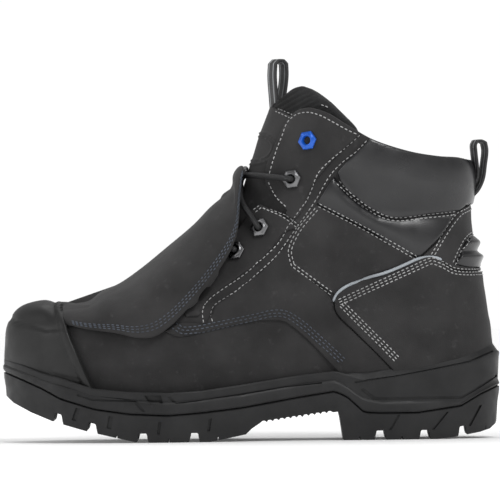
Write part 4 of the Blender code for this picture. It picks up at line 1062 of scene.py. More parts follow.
def guard_points(row, place):
    """Points of the guard at rows of its table and places from -1 to 1 across it."""
    cell = smooth_through(np.arange(len(GUARD)), GUARD, row)
    ridge = np.stack(((HEEL_CENTRE - cell[:, 0]) * LENGTH, cell[:, 1] * HEIGHT), axis=1)
    edge = np.stack(((HEEL_CENTRE - cell[:, 2]) * LENGTH, cell[:, 3] * HEIGHT), axis=1)
    angle = place * math.pi / 2
    drop = (1 - np.maximum(np.cos(angle), 0) ** 0.8)[:, None]
    side = ridge + (edge - ridge) * drop
    across = np.sign(angle) * np.abs(np.sin(angle)) ** 0.9
    y = across * cell[:, 4] * BALL_WIDTH + swing(HEEL_CENTRE - side[:, 0] / LENGTH)
    return np.stack((side[:, 0], y, side[:, 1]), axis=1)


def grid_faces(rows, columns, closed=False):
    """Four sided faces of a grid of points, joined round where it is closed."""
    across = columns if closed else columns - 1
    row, column = np.meshgrid(np.arange(rows - 1), np.arange(across), indexing="ij")
    a = (row * columns + column).ravel()
    b = (row * columns + (column + 1) % columns).ravel()
    return np.stack((a, b, b + columns, a + columns), axis=1)


def grid_normals(points, rows, columns):
    """Way out of a grid at each of its points."""
    grid = points.reshape(rows, columns, 3)
    normal = np.cross(np.gradient(grid, axis=1), np.gradient(grid, axis=0)).reshape(-1, 3)
    return normal / np.maximum(np.linalg.norm(normal, axis=1, keepdims=True), 1e-12)


def last_tree(offset, rows=130, around=160):
    """Search tree over the last, moved out by an offset."""
    turn = np.linspace(0, math.tau, around, endpoint=False)
    turns, levels = np.meshgrid(turn, np.linspace(0.2, len(LAST) - 1, rows))
    turns, levels = turns.ravel(), levels.ravel()
    points = last_points(turns, levels) + last_normals(turns, levels) * offset
    return BVHTree.FromPolygons(points.tolist(), grid_faces(rows, around, True)[:, ::-1].tolist())


def grid_shell(name, points, normals, rows, columns, thickness, rounding, finish):
    """Closed sheet of a grid, thickened inwards, with its edges rounded."""
    grid = points.reshape(rows, columns, 3)
    down, over = np.zeros((rows, columns)), np.zeros((rows, columns))
    down[1:] = np.cumsum(np.linalg.norm(np.diff(grid, axis=0), axis=2), axis=0)
    over[:, 1:] = np.cumsum(np.linalg.norm(np.diff(grid, axis=1), axis=2), axis=1)
    away = np.minimum(np.minimum(down, down[-1:] - down), np.minimum(over, over[:, -1:] - over)).ravel()
    drop = edge_drop(away, np.minimum(rounding, thickness * 0.48))
    outer = points - normals * drop[:, None]
    inner = points - normals * (thickness - drop)[:, None]
    count = len(points)
    faces = grid_faces(rows, columns)
    index = np.arange(count).reshape(rows, columns)
    rim = np.concatenate((index[0, :-1], index[:-1, -1], index[-1, :0:-1], index[:0:-1, 0]))
    sides = [(a, b, b + count, a + count) for a, b in zip(rim, np.roll(rim, -1))]
    flat = np.stack((over.ravel(), down.ravel()), axis=1) * UV_SCALE
    faces = faces[:, ::-1].tolist() + (faces + count).tolist() + sides
    piece = new_mesh(name, np.concatenate((outer, inner)), faces, finish, np.concatenate((flat, flat)))
    outward(piece, merge=False)
    return piece


down_steps = np.concatenate((
    (0, 0.0012, 0.003, 0.006), np.linspace(0.01, 0.99, GUARD_STEPS[0]), (0.994, 0.997, 0.9988, 1)))
across_steps = np.concatenate((
    (-1, -0.9975, -0.993, -0.987), np.linspace(-0.98, 0.98, GUARD_STEPS[1]), (0.987, 0.993, 0.9975, 1)))
levels, places = np.meshgrid(down_steps, across_steps, indexing="ij")
shape = levels.shape
levels, places = levels.ravel(), places.ravel()
points = guard_points(levels * (len(GUARD) - 1), places)
tree = last_tree(GAP + OVERLAY)
along, up = side_view(points)
# full thickness behind the toe, and thinner again with less room below it at the tip
full = ease(0.83, 0.74, along)
tip = ease(0.80, 0.88, up)
thickness = 0.0020 + 0.0016 * full - 0.0006 * tip
room = 0.0009 + 0.0049 * ease(0.66, 0.57, along) - 0.0026 * tip
needed = (thickness + room - OVERLAY * (1 - full)) * ease(0.525, 0.552, along)
for _ in range(PUSHES):
    for index in np.nonzero(needed > 0)[0]:
        near, normal, _, _ = tree.find_nearest(points[index])
        short = needed[index] - (points[index] - np.array(near)) @ np.array(normal)
        if short > 0:
            points[index] += np.array(normal) * short
normals = grid_normals(points, *shape)
if normals[:, 2].mean() < 0:
    normals = -normals
dents = np.zeros(len(points))
for level, place, high, wide, depth in GUARD_DENTS:
    dents -= depth / 1000 * np.exp(-((levels - level) / high) ** 2 - ((places - place) / wide) ** 2)
points = points + normals * dents[:, None]
guard = grid_shell("metatarsal_guard", points, normals, *shape, thickness, 0.0012, NUBUCK)
guard_grid = points.reshape(*shape, 3)
guard_normals = normals.reshape(*shape, 3)
print("guard triangles:", len(guard.data.polygons) * 2)

# %% [markdown]
# The sole is one moulding in two shades of work: the outsole with its lugs, and the midsole cup
# above it. Both start as a loft of plan outlines, stepped in and out at the lines of the side
# wall. Cutters then shape the tread, the arch, the grooves and the recesses, the way a mould is
# milled. Sculpting the loft instead would blur the crisp edges that moulded rubber has.

# %% Sole walls
SOLE_LINES = np.array((
    # along, parting, rib, lip, rim
    (0.002, 0.193, 0.210, 0.312, 0.360), (0.042, 0.161, 0.171, 0.291, 0.342),
    (0.080, 0.121, 0.135, 0.270, 0.321),
    (0.169, 0.098, 0.132, 0.239, 0.277), (0.239, 0.098, 0.131, 0.220, 0.253),
    (0.275, 0.101, 0.145, 0.214, 0.243),
    (0.309, 0.158, 0.190, 0.232, 0.244), (0.333, 0.178, 0.213, 0.243, 0.251),
    (0.400, 0.160, 0.201, 0.231, 0.239),
    (0.520, 0.123, 0.165, 0.198, 0.206), (0.600, 0.107, 0.148, 0.178, 0.186),
    (0.667, 0.098, 0.140, 0.172, 0.180),
    (0.745, 0.105, 0.149, 0.177, 0.185), (0.815, 0.124, 0.168, 0.189, 0.197),
    (0.882, 0.162, 0.205, 0.229, 0.237),
    (0.920, 0.200, 0.229, 0.248, 0.256), (0.960, 0.232, 0.257, 0.278, 0.286),
    (1.000, 0.262, 0.284, 0.302, 0.310),
))
PARTING, RIB, LIP, RIM = 1, 2, 3, 4
SOLE_PLAN = np.array((0.49, 0.36, 0.50, 0.425))
SOLE_AROUND = 300
MIDSOLE_WALL = (
    # line, height above it, how far out at the heel, and elsewhere
    (RIM, 0.0000, -0.0110, -0.0110), (RIM, 0.0000, -0.0058, -0.0024), (RIM, -0.0006, -0.0050, -0.0018),
    (LIP, 0.0012, -0.0012, -0.0011), (LIP, 0.0004, -0.0002, -0.0005), (LIP, -0.0006, 0.0000, -0.0004),
    (LIP, -0.0030, -0.0004, -0.0006), (RIB, 0.0012, -0.0011, -0.0011), (RIB, 0.0004, -0.0009, -0.0003),
    (RIB, -0.0008, -0.0006, 0.0002), (PARTING, 0.0012, -0.0001, 0.0001),
    (PARTING, 0.0004, -0.0004, -0.0004),
    (PARTING, 0.0000, -0.0013, -0.0013), (PARTING, 0.0000, -0.0080, -0.0080),
)
OUTSOLE_WALL = (
    (PARTING, 0.0004, -0.0080, -0.0080), (PARTING, -0.0003, -0.0013, -0.0013),
    (PARTING, -0.0010, -0.0003, -0.0003),
    (PARTING, -0.0040, -0.0004, -0.0004), (PARTING, -0.0100, -0.0014, -0.0014),
    (None, 0.0, -0.0030, -0.0030),
    (None, -0.006, -0.0036, -0.0036),
)


def sole_ring(line, above, heel_out, out, shift=0.0):
    """One ring of the sole's wall."""
    turn = np.linspace(0, math.tau, SOLE_AROUND, endpoint=False)
    share = (1 - np.cos(turn)) / 2
    widths = SOLE_PLAN * np.array((SOLE_HEEL_WIDTH, SOLE_BALL_WIDTH, SOLE_BALL_WIDTH, SOLE_BALL_WIDTH))
    halves = np.tile(widths, (SOLE_AROUND, 1))
    sine = np.sin(turn)
    y = -np.sign(sine) * ring_factor(halves, share) * np.abs(sine) ** BLUNT + swing(share)
    plan = np.stack(((HEEL_CENTRE - share) * LENGTH, y), axis=1)
    way = np.roll(plan, -1, axis=0) - np.roll(plan, 1, axis=0)
    normal = np.stack((way[:, 1], -way[:, 0]), axis=1) / np.linalg.norm(way, axis=1, keepdims=True)
    away = plan - plan.mean(axis=0)
    normal *= np.sign((normal * away).sum(axis=1, keepdims=True))
    heel = ease(0.30, 0.10, share)
    moved = plan + normal * (out + shift + (heel_out - out) * heel)[:, None]
    along = HEEL_CENTRE - moved[:, 0] / LENGTH
    if line is None:
        level = np.full(SOLE_AROUND, above)
    else:
        level = np.interp(along, SOLE_LINES[:, 0], SOLE_LINES[:, line]) * HEIGHT + above
    return np.column_stack((moved, level))


def loft(name, rings, finish):
    """Closed solid through rings of equally many points, capped by strips."""
    count, levels = len(rings[0]), len(rings)
    points = np.concatenate(rings)
    faces = grid_faces(levels, count, True).tolist()
    half = count // 2
    for first in (0, (levels - 1) * count):
        cap = [(first, first + 1, first + count - 1)]
        cap += [
            (first + s, first + s + 1, first + count - s - 1, first + count - s) for s in range(1, half - 1)
        ]
        cap.append((first + half - 1, first + half, first + half + 1))
        faces += cap if first else [face[::-1] for face in cap]
    piece = new_mesh(name, points, faces, finish)
    outward(piece)
    return piece


def prism(name, near, far):
    """Solid between two outlines of equally many points."""
    count = len(near)
    faces = [tuple(range(count)), tuple(range(2 * count - 1, count - 1, -1))]
    faces += [(i, (i + 1) % count, (i + 1) % count + count, i + count) for i in range(count)]
    return new_mesh(name, near + far, faces, SOLE_RUBBER)


def side_prism(name, outline, low=-0.12, high=0.12):
    """Solid with a side view outline in metres, from Y low to high."""
    piece = prism(name, [(x, low, z) for x, z in outline], [(x, high, z) for x, z in outline])
    outward(piece)
    return piece


def apply_boolean(piece, cutter, operation="DIFFERENCE"):
    """The fast solver, because both meshes are closed and dense."""
    modifier = piece.modifiers.new(cutter.name, "BOOLEAN")
    modifier.solver = "MANIFOLD"
    modifier.operation = operation
    modifier.object = cutter
    bpy.context.view_layer.objects.active = piece
    bpy.ops.object.modifier_apply(modifier=modifier.name)
    bpy.data.objects.remove(cutter)


def sole_body(name, wall, shift=0.0):
    """Solid of a sole's wall, moved out by shift."""
    return loft(name, [sole_ring(*row, shift) for row in wall], SOLE_RUBBER)


def side_metres(table):
    """Side view shares as X and Z in metres."""
    return [((HEEL_CENTRE - along) * LENGTH, up * HEIGHT) for along, up in table]


def engrave(piece, wall, outlines, depth, sides=(-1, 1)):
    """Shallow recesses: within each outline, what lies outside the shrunk wall is cut away."""
    for number, outline in enumerate(outlines):
        for side in sides:
            low, high = (-0.12, 0.0) if side < 0 else (0.0, 0.12)
            cutter = side_prism(f"cut_{number}", outline, low, high)
            apply_boolean(cutter, sole_body("cut_core", wall, -depth))
            apply_boolean(piece, cutter)


# %% [markdown]
# The tread: the lugs are what is left between the grooves. Seen from the side the ground line
# rises at the heel's back, jumps up behind the heel breast, falls along the shank and rises
# again at the toe. The grooves run across, and a row of chevrons parts the lugs lengthwise.

# %% Tread
TREAD = np.array((
    (-0.02, 0.11), (0.002, 0.083), (0.010, 0.052), (0.022, 0.034), (0.042, 0.023), (0.068, 0.015),
    (0.100, 0.006),
    (0.130, 0.0), (0.317, 0.0), (0.3235, 0.078), (0.327, 0.104), (0.400, 0.087), (0.484, 0.066),
    (0.500, 0.047),
    (0.512, 0.026), (0.556, 0.010), (0.585, 0.0), (0.726, 0.0), (0.765, 0.016), (0.805, 0.033),
    (0.833, 0.045),
    (0.873, 0.066), (0.900, 0.081), (0.942, 0.112), (0.978, 0.146), (0.994, 0.171), (1.02, 0.23),
))
GROOVES = (
    (0.078, 0.018), (0.154, 0.024), (0.243, 0.024), (0.615, 0.022), (0.718, 0.024), (0.819, 0.022),
    (0.887, 0.020),
)
SLITS = (0.568, 0.666, 0.770, 0.200, 0.285)
LUG_DEPTH = 0.0058
SERRATIONS = 12
GROOVE_SHAPE = (
    (-0.5, 0), (-0.42, 0.35), (-0.34, 0.9), (-0.26, 1), (0.26, 1), (0.34, 0.9), (0.42, 0.35), (0.5, 0),
)
SLIT_SHAPE = ((-0.0016, 0), (-0.0014, 0.002), (0.0014, 0.002), (0.0016, 0))
SERRATION_SHAPE = ((0.0, 0.0), (0.0045, 0.0011), (0.009, 0.0011))
CHANNEL_RUNS = ((0.03, 0.30), (0.54, 0.95))
CHANNEL_WIDTH = 0.0032
CHANNEL_DEPTH = 0.0035


def ground(along):
    """Height of the ground line, in metres."""
    return np.interp(along, TREAD[:, 0], TREAD[:, 1]) * HEIGHT


def tread_outline():
    """What lies below the tread: the ground line with its grooves, slits and serrations."""
    points = [
        (along, up * HEIGHT) for along, up in TREAD
        if not any(abs(along - middle) <= width / 2 for middle, width in GROOVES)
    ]
    for middle, width in GROOVES:
        for place, deep in GROOVE_SHAPE:
            along = middle + place * width
            points.append((along, ground(along) + deep * LUG_DEPTH))
    for middle in SLITS:
        for place, deep in SLIT_SHAPE:
            points.append((middle + place, ground(middle + place) + deep))
    for step in range(SERRATIONS):
        along = 0.338 + 0.012 * step
        for place, deep in SERRATION_SHAPE:
            points.append((along + place, ground(along + place) + deep))
    points.sort()
    line = [((HEEL_CENTRE - along) * LENGTH, level) for along, level in points]
    return line + [(line[-1][0], -0.03), (line[0][0], -0.03)]


outsole = sole_body("outsole", OUTSOLE_WALL)
apply_boolean(outsole, side_prism("cut_tread", tread_outline()))
for side in (-1, 1):
    for start, end in CHANNEL_RUNS:
        steps = np.linspace((HEEL_CENTRE - start) * LENGTH, (HEEL_CENTRE - end) * LENGTH, 15)
        zigzag = [(x, side * (0.0185 + 0.003 * (index % 2))) for index, x in enumerate(steps)]
        strip = [(x, y - CHANNEL_WIDTH / 2) for x, y in zigzag]
        strip += [(x, y + CHANNEL_WIDTH / 2) for x, y in reversed(zigzag)]
        tops = [(x, y, ground(HEEL_CENTRE - x / LENGTH) + CHANNEL_DEPTH) for x, y in strip]
        channel = prism("cut_channel", [(x, y, -0.02) for x, y in strip], tops)
        bpy.context.view_layer.objects.active = channel
        modifier = channel.modifiers.new("flat faces", "TRIANGULATE")
        bpy.ops.object.modifier_apply(modifier=modifier.name)
        outward(channel)
        apply_boolean(outsole, channel)
WALL_CUTS = (
    ((0.226, 0.035), (0.221, 0.035), (0.203, 0.090), (0.208, 0.090)),
    ((0.140, 0.035), (0.135, 0.035), (0.106, 0.098), (0.111, 0.098)),
    ((0.066, 0.045), (0.061, 0.045), (0.038, 0.120), (0.043, 0.120)),
    ((0.860, 0.085), (0.851, 0.080), (0.842, 0.125), (0.851, 0.130)),
    ((0.790, 0.055), (0.781, 0.050), (0.776, 0.095), (0.785, 0.098)),
    ((0.690, 0.030), (0.684, 0.030), (0.680, 0.075), (0.686, 0.075)),
    ((0.590, 0.040), (0.584, 0.040), (0.580, 0.085), (0.586, 0.085)),
)
engrave(outsole, OUTSOLE_WALL, [side_metres(table) for table in WALL_CUTS], 0.0011)
print("outsole triangles:", sum(len(p.vertices) - 2 for p in outsole.data.polygons))

# %% [markdown]
# The midsole cup: its wall has a stepped rib that swells under the ball, a small recess
# behind the toe, and the edge of the heel cup. The last, moved out by the usual gap, hollows it.

# %% Midsole and insole
BED = np.array((
    (-0.05, 1.0), (0.30, 0.98), (0.36, 0.96), (0.42, 0.88), (0.55, 0.70), (0.66, 0.62), (0.75, 0.64),
    (0.83, 0.78),
    (0.90, 1.02), (0.96, 1.25), (1.05, 1.55),
)) * (1, 0.035)


def bed_outline(shift, floor=-0.03):
    """Side view of all that lies below the foot's bed."""
    line = [((HEEL_CENTRE - along) * LENGTH, level + shift) for along, level in BED]
    return line + [(line[-1][0], floor), (line[0][0], floor)]


def last_solid(name, offset, finish, rows=90, around=260, top=15.0):
    """The last up to a row, moved out by an offset."""
    turn = np.linspace(0, math.tau, around, endpoint=False)
    turns, levels = np.meshgrid(turn, np.linspace(0, top, rows))
    turns, levels = turns.ravel(), levels.ravel()
    points = last_points(turns, levels) + last_normals(turns, levels) * offset
    return loft(name, list(points.reshape(rows, around, 3)), finish)


midsole = sole_body("midsole", MIDSOLE_WALL)
cavity = last_solid("cut_cavity", GAP, SOLE_RUBBER)
apply_boolean(cavity, side_prism("cut_floor", bed_outline(-GAP)))
apply_boolean(midsole, cavity)
NOTCH = ((0.7139, 0.171), (0.6807, 0.171), (0.6767, 0.142), (0.7028, 0.138))
HEEL_CUP = (
    (0.2811, 0.181), (0.257, 0.145), (0.080, 0.145), (0.042, 0.182), (0.006, 0.222), (0.006, 0.231),
    (0.042, 0.192),
    (0.080, 0.155), (0.253, 0.155), (0.276, 0.189),
)
STEP_LINES = (
    ((0.849, 0.172), (0.817, 0.154), (0.735, 0.145), (0.717, 0.111), (0.712, 0.114), (0.730, 0.152),
    (0.816, 0.161),
     (0.847, 0.179)),
    ((0.667, 0.165), (0.653, 0.137), (0.604, 0.145), (0.436, 0.190), (0.359, 0.204), (0.359, 0.211),
    (0.436, 0.197),
     (0.606, 0.152), (0.650, 0.144), (0.662, 0.168)),
    ((0.2935, 0.2065), (0.212, 0.2255), (0.150, 0.245), (0.0645, 0.2745), (0.0140, 0.3115),
    (0.0140, 0.3185),
     (0.0645, 0.2815), (0.150, 0.252), (0.212, 0.2325), (0.2935, 0.2135)),
)
engrave(midsole, MIDSOLE_WALL, [side_metres(NOTCH)], 0.0022)
engrave(midsole, MIDSOLE_WALL, [side_metres(table) for table in (HEEL_CUP, *STEP_LINES)], 0.0009)
insole = last_solid("insole", -(WALL + 2 * GAP), INSOLE_FELT, rows=40, around=160, top=4.0)
apply_boolean(insole, side_prism("cut_under", bed_outline(0.0)))
apply_boolean(insole, side_prism("keep_sock", bed_outline(0.0045)), "INTERSECT")
for piece in (outsole, midsole, insole):
    piece.data.shade_smooth()
    crisp(piece, 28)
print("midsole triangles:", sum(len(p.vertices) - 2 for p in midsole.data.polygons))

# %% [markdown]
# Metal eyelets: a bevelled hexagon with a rounded lip round its hole. One profile is turned in
# 48 steps, and its outer rings follow the hexagon while its inner rings are round. The place and
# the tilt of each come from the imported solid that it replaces.

# %% Eyelets
EYELET_PROFILE = (
    # how hexagonal, radius, height, in mm
    (1, 6.25, 0.0), (1, 6.35, 0.25), (1, 6.30, 0.9), (1, 6.0, 1.35), (1, 5.2, 1.75), (0.5, 4.7, 1.85),
    (0, 4.3, 1.9),
    (0, 4.0, 2.15), (0, 3.5, 2.30), (0, 3.0, 2.15), (0, 2.65, 1.7), (0, 2.45, 0.9), (0, 2.35, -0.5),
    (0, 2.6, -2.2),
)
EYELET_AROUND = 48


def eyelet_mesh(name, matrix, finish):
    """The profile turned round its hole and set in its place."""
    angle = np.arange(EYELET_AROUND) * math.tau / EYELET_AROUND
    sixth = math.tau / 6
    hexagon = math.cos(sixth / 2) / np.cos(np.mod(angle, sixth) - sixth / 2)
    points = []
    for straight, radius, height in EYELET_PROFILE:
        reach = radius / 1000 * (1 + straight * (hexagon - 1))
        level = np.full(EYELET_AROUND, height / 1000)
        points.append(np.stack((np.cos(angle) * reach, np.sin(angle) * reach, level), axis=1))
    points = np.concatenate(points)
    points = points @ np.array(matrix.to_3x3()).T + np.array(matrix.translation)
    piece = new_mesh(name, points, grid_faces(len(EYELET_PROFILE), EYELET_AROUND, True)[:, ::-1], finish)
    crisp(piece, 24)
    return piece


eyelets, seats = {}, {}
for name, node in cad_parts.items():
    if not name.startswith("eyelet_"):
        continue
    corners = np.unique(np.round([tuple(v.co) for v in node.data.vertices], 7), axis=0)
    centre = corners.mean(axis=0)
    spread = np.linalg.svd(corners - centre)[2]
    normal = spread[2] * np.sign(spread[2] @ np.array((-0.2, centre[1] * 30, 0.3)))
    reach = (corners - centre) @ normal
    base = centre + normal * reach.min()
    rim = corners[reach < reach.min() + 0.0003]
    far = rim[np.argmax(np.linalg.norm(rim - base, axis=1))] - base
    side = far - normal * (far @ normal)
    side /= np.linalg.norm(side)
    matrix = Matrix(np.column_stack((side, np.cross(normal, side), normal)).tolist()).to_4x4()
    matrix.translation = base
    finish = BLUE_METAL if name.startswith("eyelet_1") else GUNMETAL
    eyelets[name] = eyelet_mesh(name, matrix, finish)
    seats[name] = (base, normal)
print("eyelets:", len(eyelets))

# %% [markdown]
# The lace is a round braided cord. It comes up through the second pair of eyelets, crosses over
# the tongue, goes down the third pair under the guard's lip, and runs straight across at the
# fourth. A curve object with a bevel is the usual way. Here the tube is swept by hand, because
# its braid needs a pattern that follows the cord.

# %% Laces
LACE_RADIUS = 0.0019
LACE_AROUND = 14


def heading(path):
    """Direction of a path at each of its points."""
    way = np.gradient(path, axis=0)
    return way / np.linalg.norm(way, axis=1, keepdims=True)


def end_caps(count, levels):
    """First and last face of a tube of rings."""
    return [tuple(range(count - 1, -1, -1)), tuple(range((levels - 1) * count, levels * count))]


def swept(name, path, radius, finish, around=LACE_AROUND):
    """Tube along a dense path, with its pattern running along it and its ends rounded."""
    path = np.asarray(path)
    way = heading(path)
    side = np.cross(way[0], (0.3, 0.2, 0.93))
    sides = []
    for direction in way:
        side = side - direction * (side @ direction)
        side /= np.linalg.norm(side)
        sides.append(side)
    sides = np.array(sides)
    ups = np.cross(way, sides)
    run = run_along(path)
    angle = np.arange(around) * math.tau / around
    near_end = np.clip(np.minimum(run, run[-1] - run) / radius, 0.12, 1)
    close = np.sqrt(np.clip(1 - (1 - near_end) ** 2, 0, 1))
    ring = np.cos(angle)[None, :, None] * sides[:, None] + np.sin(angle)[None, :, None] * ups[:, None]
    points = (path[:, None] + ring * (radius * close)[:, None, None]).reshape(-1, 3)
    round_it = np.tile(angle / math.tau, len(path)) * radius * math.tau
    uv = np.stack((round_it, np.repeat(run, around)), axis=1) * UV_SCALE
    faces = grid_faces(len(path), around, True).tolist() + end_caps(around, len(path))
    piece = new_mesh(name, points, faces, finish, uv)
    outward(piece)
    return piece


def through(points, step=0.0006):
    """Dense smooth path through points in space."""
    points = np.array(points, float)
    places = run_along(points)
    return smooth_through(places, points, np.linspace(0, places[-1], int(places[-1] / step)))


def crossing(high, low, lift):
    """From one side's second eyelet over the tongue to the other side's third."""
    start, start_normal = seats[high]
    end, end_normal = seats[low]
    start_turn, start_row, _ = to_last(*side_view(start[None]))
    end_turn, end_row, _ = to_last(*side_view(end[None]))
    start_turn = start_turn if start[1] < 0 else math.tau - start_turn
    end_turn = end_turn if end[1] < 0 else math.tau - end_turn
    share = np.linspace(0.10, 0.90, 17)
    turn = start_turn + (end_turn - start_turn) * share
    row = start_row + (end_row - start_row) * np.clip((share - 0.40) / 0.60, 0, 1) ** 1.7
    low_part = ease(0.14, 0.36, np.minimum(share, 1 - share))
    rise = 0.0058 + (0.0004 - 0.0058) * low_part + lift * bell(share - 0.5, 0.10)
    middle = last_points(turn, row) + last_normals(turn, row) * rise[:, None]
    first = [start - start_normal * 0.006, start - start_normal * 0.001, start + start_normal * 0.0030]
    final = [end + end_normal * 0.0030, end - end_normal * 0.001, end - end_normal * 0.006]
    return through(np.concatenate((first, middle, final)))


laces = [
    swept("lace_over", crossing("eyelet_2_outer", "eyelet_3_inner", 0.0021), LACE_RADIUS, LACE),
    swept("lace_under", crossing("eyelet_2_inner", "eyelet_3_outer", -0.0006), LACE_RADIUS, LACE),
]
bar_low, bar_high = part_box("lace_bar")
bar_front = np.array((bar_low[0] + LACE_RADIUS, (bar_low[1] + bar_high[1]) / 2, bar_high[2] - LACE_RADIUS))
half_bars = []
for side_name in ("outer", "inner"):
    seat, normal = seats[f"eyelet_4_{side_name}"]
    rise = seat + normal * 0.0030
    half_bars.append([
        seat - normal * 0.006, seat, rise, rise * 0.68 + bar_front * 0.32 + normal * 0.004,
        bar_front * 0.75 + rise * 0.25 + normal * 0.003])
bar_path = through(half_bars[0] + [bar_front] + half_bars[1][::-1])
laces.append(swept("lace_straight", bar_path, LACE_RADIUS, LACE))
print("laces:", len(laces))

# %% [markdown]
# The pull loops are folded webbing, with two light stripes woven in. A band is swept along the
# fold seen from the side, given the webbing's width, and turned a little as the real ones are.

# %% Pull loops
LOOP_WIDTH = 0.013
TONGUE_LOOP = (
    (0.4475, 1.190), (0.4495, 1.240), (0.4525, 1.330), (0.451, 1.372), (0.4435, 1.385), (0.434, 1.384),
    (0.4275, 1.372),
    (0.4270, 1.330), (0.4320, 1.262), (0.4375, 1.222), (0.4395, 1.195),
)
HEEL_LOOP = (
    (0.0600, 0.872), (0.0420, 0.906), (0.0320, 0.945), (0.0275, 0.995), (0.0240, 1.050), (0.0265, 1.076),
    (0.0350, 1.083),
    (0.0440, 1.082), (0.0475, 1.070), (0.0470, 1.045), (0.0440, 0.990), (0.0435, 0.955), (0.0520, 0.920),
    (0.0650, 0.895),
)
BAND = 0.0019
BAND_EDGE = (0, 0.0002, 0.0005, 0.0010)


def webbing_loop(name, table, stripes, turn):
    """Band with a rounded edge along a side view line, with stripes between lengths across it."""
    path = np.array(side_metres(smooth_line(table, 0.0009)))
    way = heading(path)
    normal = np.stack((way[:, 1], -way[:, 0]), axis=1)
    run = run_along(path)
    inside = np.linspace(0.0012, LOOP_WIDTH - 0.0012, 22)
    across = np.unique(np.concatenate((inside, BAND_EDGE, LOOP_WIDTH - np.array(BAND_EDGE))))
    near_edge = np.clip(np.minimum(across, LOOP_WIDTH - across) / 0.0009, 0, 1)
    half = BAND / 2 * np.sqrt(np.clip(1 - (1 - near_edge) ** 2, 0.05, 1))
    front, back = np.stack((across, half), axis=1), np.stack((across[::-1], -half[::-1]), axis=1)
    profile = np.concatenate((front, back))
    middle = (path[:, 0].min() + path[:, 0].max()) / 2
    points = np.array([
        (x + nx * out, y - LOOP_WIDTH / 2, z + nz * out)
        for (x, z), (nx, nz) in zip(path, normal) for y, out in profile])
    turned = np.array(Matrix.Rotation(turn, 3, "Z"))
    points = (points - (middle, 0, 0)) @ turned.T + (middle, 0, 0)
    count = len(profile)
    uv = np.stack((np.tile(profile[:, 0], len(path)), np.repeat(run, count)), axis=1) * UV_SCALE
    faces = grid_faces(len(path), count, True).tolist() + end_caps(count, len(path))
    piece = new_mesh(name, points, faces, WEBBING, uv)
    piece.data.materials.append(WEBBING_STRIPE)
    for polygon in piece.data.polygons:
        column = [v % count for v in polygon.vertices]
        spot = float(np.mean([profile[c, 0] for c in column]))
        if len(column) == 4 and any(low < spot < high for low, high in stripes):
            polygon.material_index = 1
    outward(piece)
    return piece


tongue_loop = webbing_loop("tongue_loop", TONGUE_LOOP, ((0.0020, 0.0036), (0.0094, 0.0110)), math.radians(22))
heel_loop = webbing_loop("heel_loop", HEEL_LOOP, ((0.0024, 0.0036), (0.0094, 0.0106)), math.radians(13))
print("pull loops:", len([tongue_loop, heel_loop]))

# %% [markdown]
# Stitches are single capsules of thread, laid on the dressed surface along each seam. One row is
# a list of seats: a point dropped onto the leather, the leather's normal there and the way the
# seam runs. All rows of one thread and side are one mesh. An array on a curve would do the same,
# but would not sit on the surface below it.

# %% Stitches
STITCH_LENGTH = 0.0022
STITCH_GAP = 0.0009
STITCH_RADIUS = 0.00036
STITCH_AROUND = 6
STITCH_SHAPE = (
    # share of the length, share of the radius, lift in metres
    (0.0, 0.25, -0.00035), (0.12, 0.85, -0.00005), (0.5, 1.0, 0.00013), (0.88, 0.85, -0.00005),
    (1.0, 0.25, -0.00035),
)


def surface_tree(pieces):
    """Search tree over the faces of several pieces."""
    points, faces = [], []
    for piece in pieces:
        start = len(points)
        points += [tuple(v.co) for v in piece.data.vertices]
        faces += [tuple(v + start for v in p.vertices) for p in piece.data.polygons]
    return BVHTree.FromPolygons(points, faces)


def offset_line(table, shift, step=0.0004):
    """Side view line, smoothed and moved sideways by shift metres."""
    line = smooth_line(table, step) * (LENGTH, HEIGHT)
    way = heading(line)
    return (line + np.stack((way[:, 1], -way[:, 0]), axis=1) * shift) / (LENGTH, HEIGHT)


def seated(line, tree, side):
    """Points and normals where a side view line meets the dressed surface from outside."""
    turn, row, _ = to_last(line[:, 0], line[:, 1])
    if side > 0:
        turn = -turn
    points, normals = [], []
    for near, normal in zip(last_points(turn, row), last_normals(turn, row)):
        hit = tree.ray_cast(Vector(near + normal * 0.012), Vector(-normal), 0.03)
        if hit[0] is None:
            continue
        points.append(tuple(hit[0]))
        normals.append(tuple(hit[1]) if hit[1].dot(Vector(normal)) > 0 else tuple(-hit[1]))
    return np.array(points), np.array(normals)


def stitch_seats(points, normals):
    """Start, end and normal of every stitch along a dense line in space."""
    run = run_along(points)
    middles = np.arange(STITCH_LENGTH, run[-1] - STITCH_LENGTH / 2, STITCH_LENGTH + STITCH_GAP)

    def read(place, values):
        return np.stack([np.interp(place, run, values[:, axis]) for axis in range(3)], axis=1)

    starts, ends = read(middles - STITCH_LENGTH / 2, points), read(middles + STITCH_LENGTH / 2, points)
    return list(zip(starts, ends, read(middles, normals)))


def thread(name, seats_of, finish):
    """One mesh of a capsule per seat, sunk at both ends as a pulled stitch is."""
    angle = np.arange(STITCH_AROUND) * math.tau / STITCH_AROUND
    points, faces = [], []
    for start, end, up in seats_of:
        way = end - start
        long = np.linalg.norm(way)
        if long < 1e-5:
            continue
        way = way / long
        up = up / np.linalg.norm(up)
        side = np.cross(way, up)
        side /= np.linalg.norm(side)
        up = np.cross(side, way)
        base = len(points)
        for share, thick, lift in STITCH_SHAPE:
            ring = (start + way * long * share + up * lift)[None] + STITCH_RADIUS * thick * (
                np.cos(angle)[:, None] * side + np.sin(angle)[:, None] * up)
            points += ring.tolist()
        faces += (grid_faces(len(STITCH_SHAPE), STITCH_AROUND, True) + base).tolist()
        faces += [tuple(base + v for v in cap) for cap in end_caps(STITCH_AROUND, len(STITCH_SHAPE))]
    piece = new_mesh(name, points, faces, finish)
    outward(piece)
    return piece


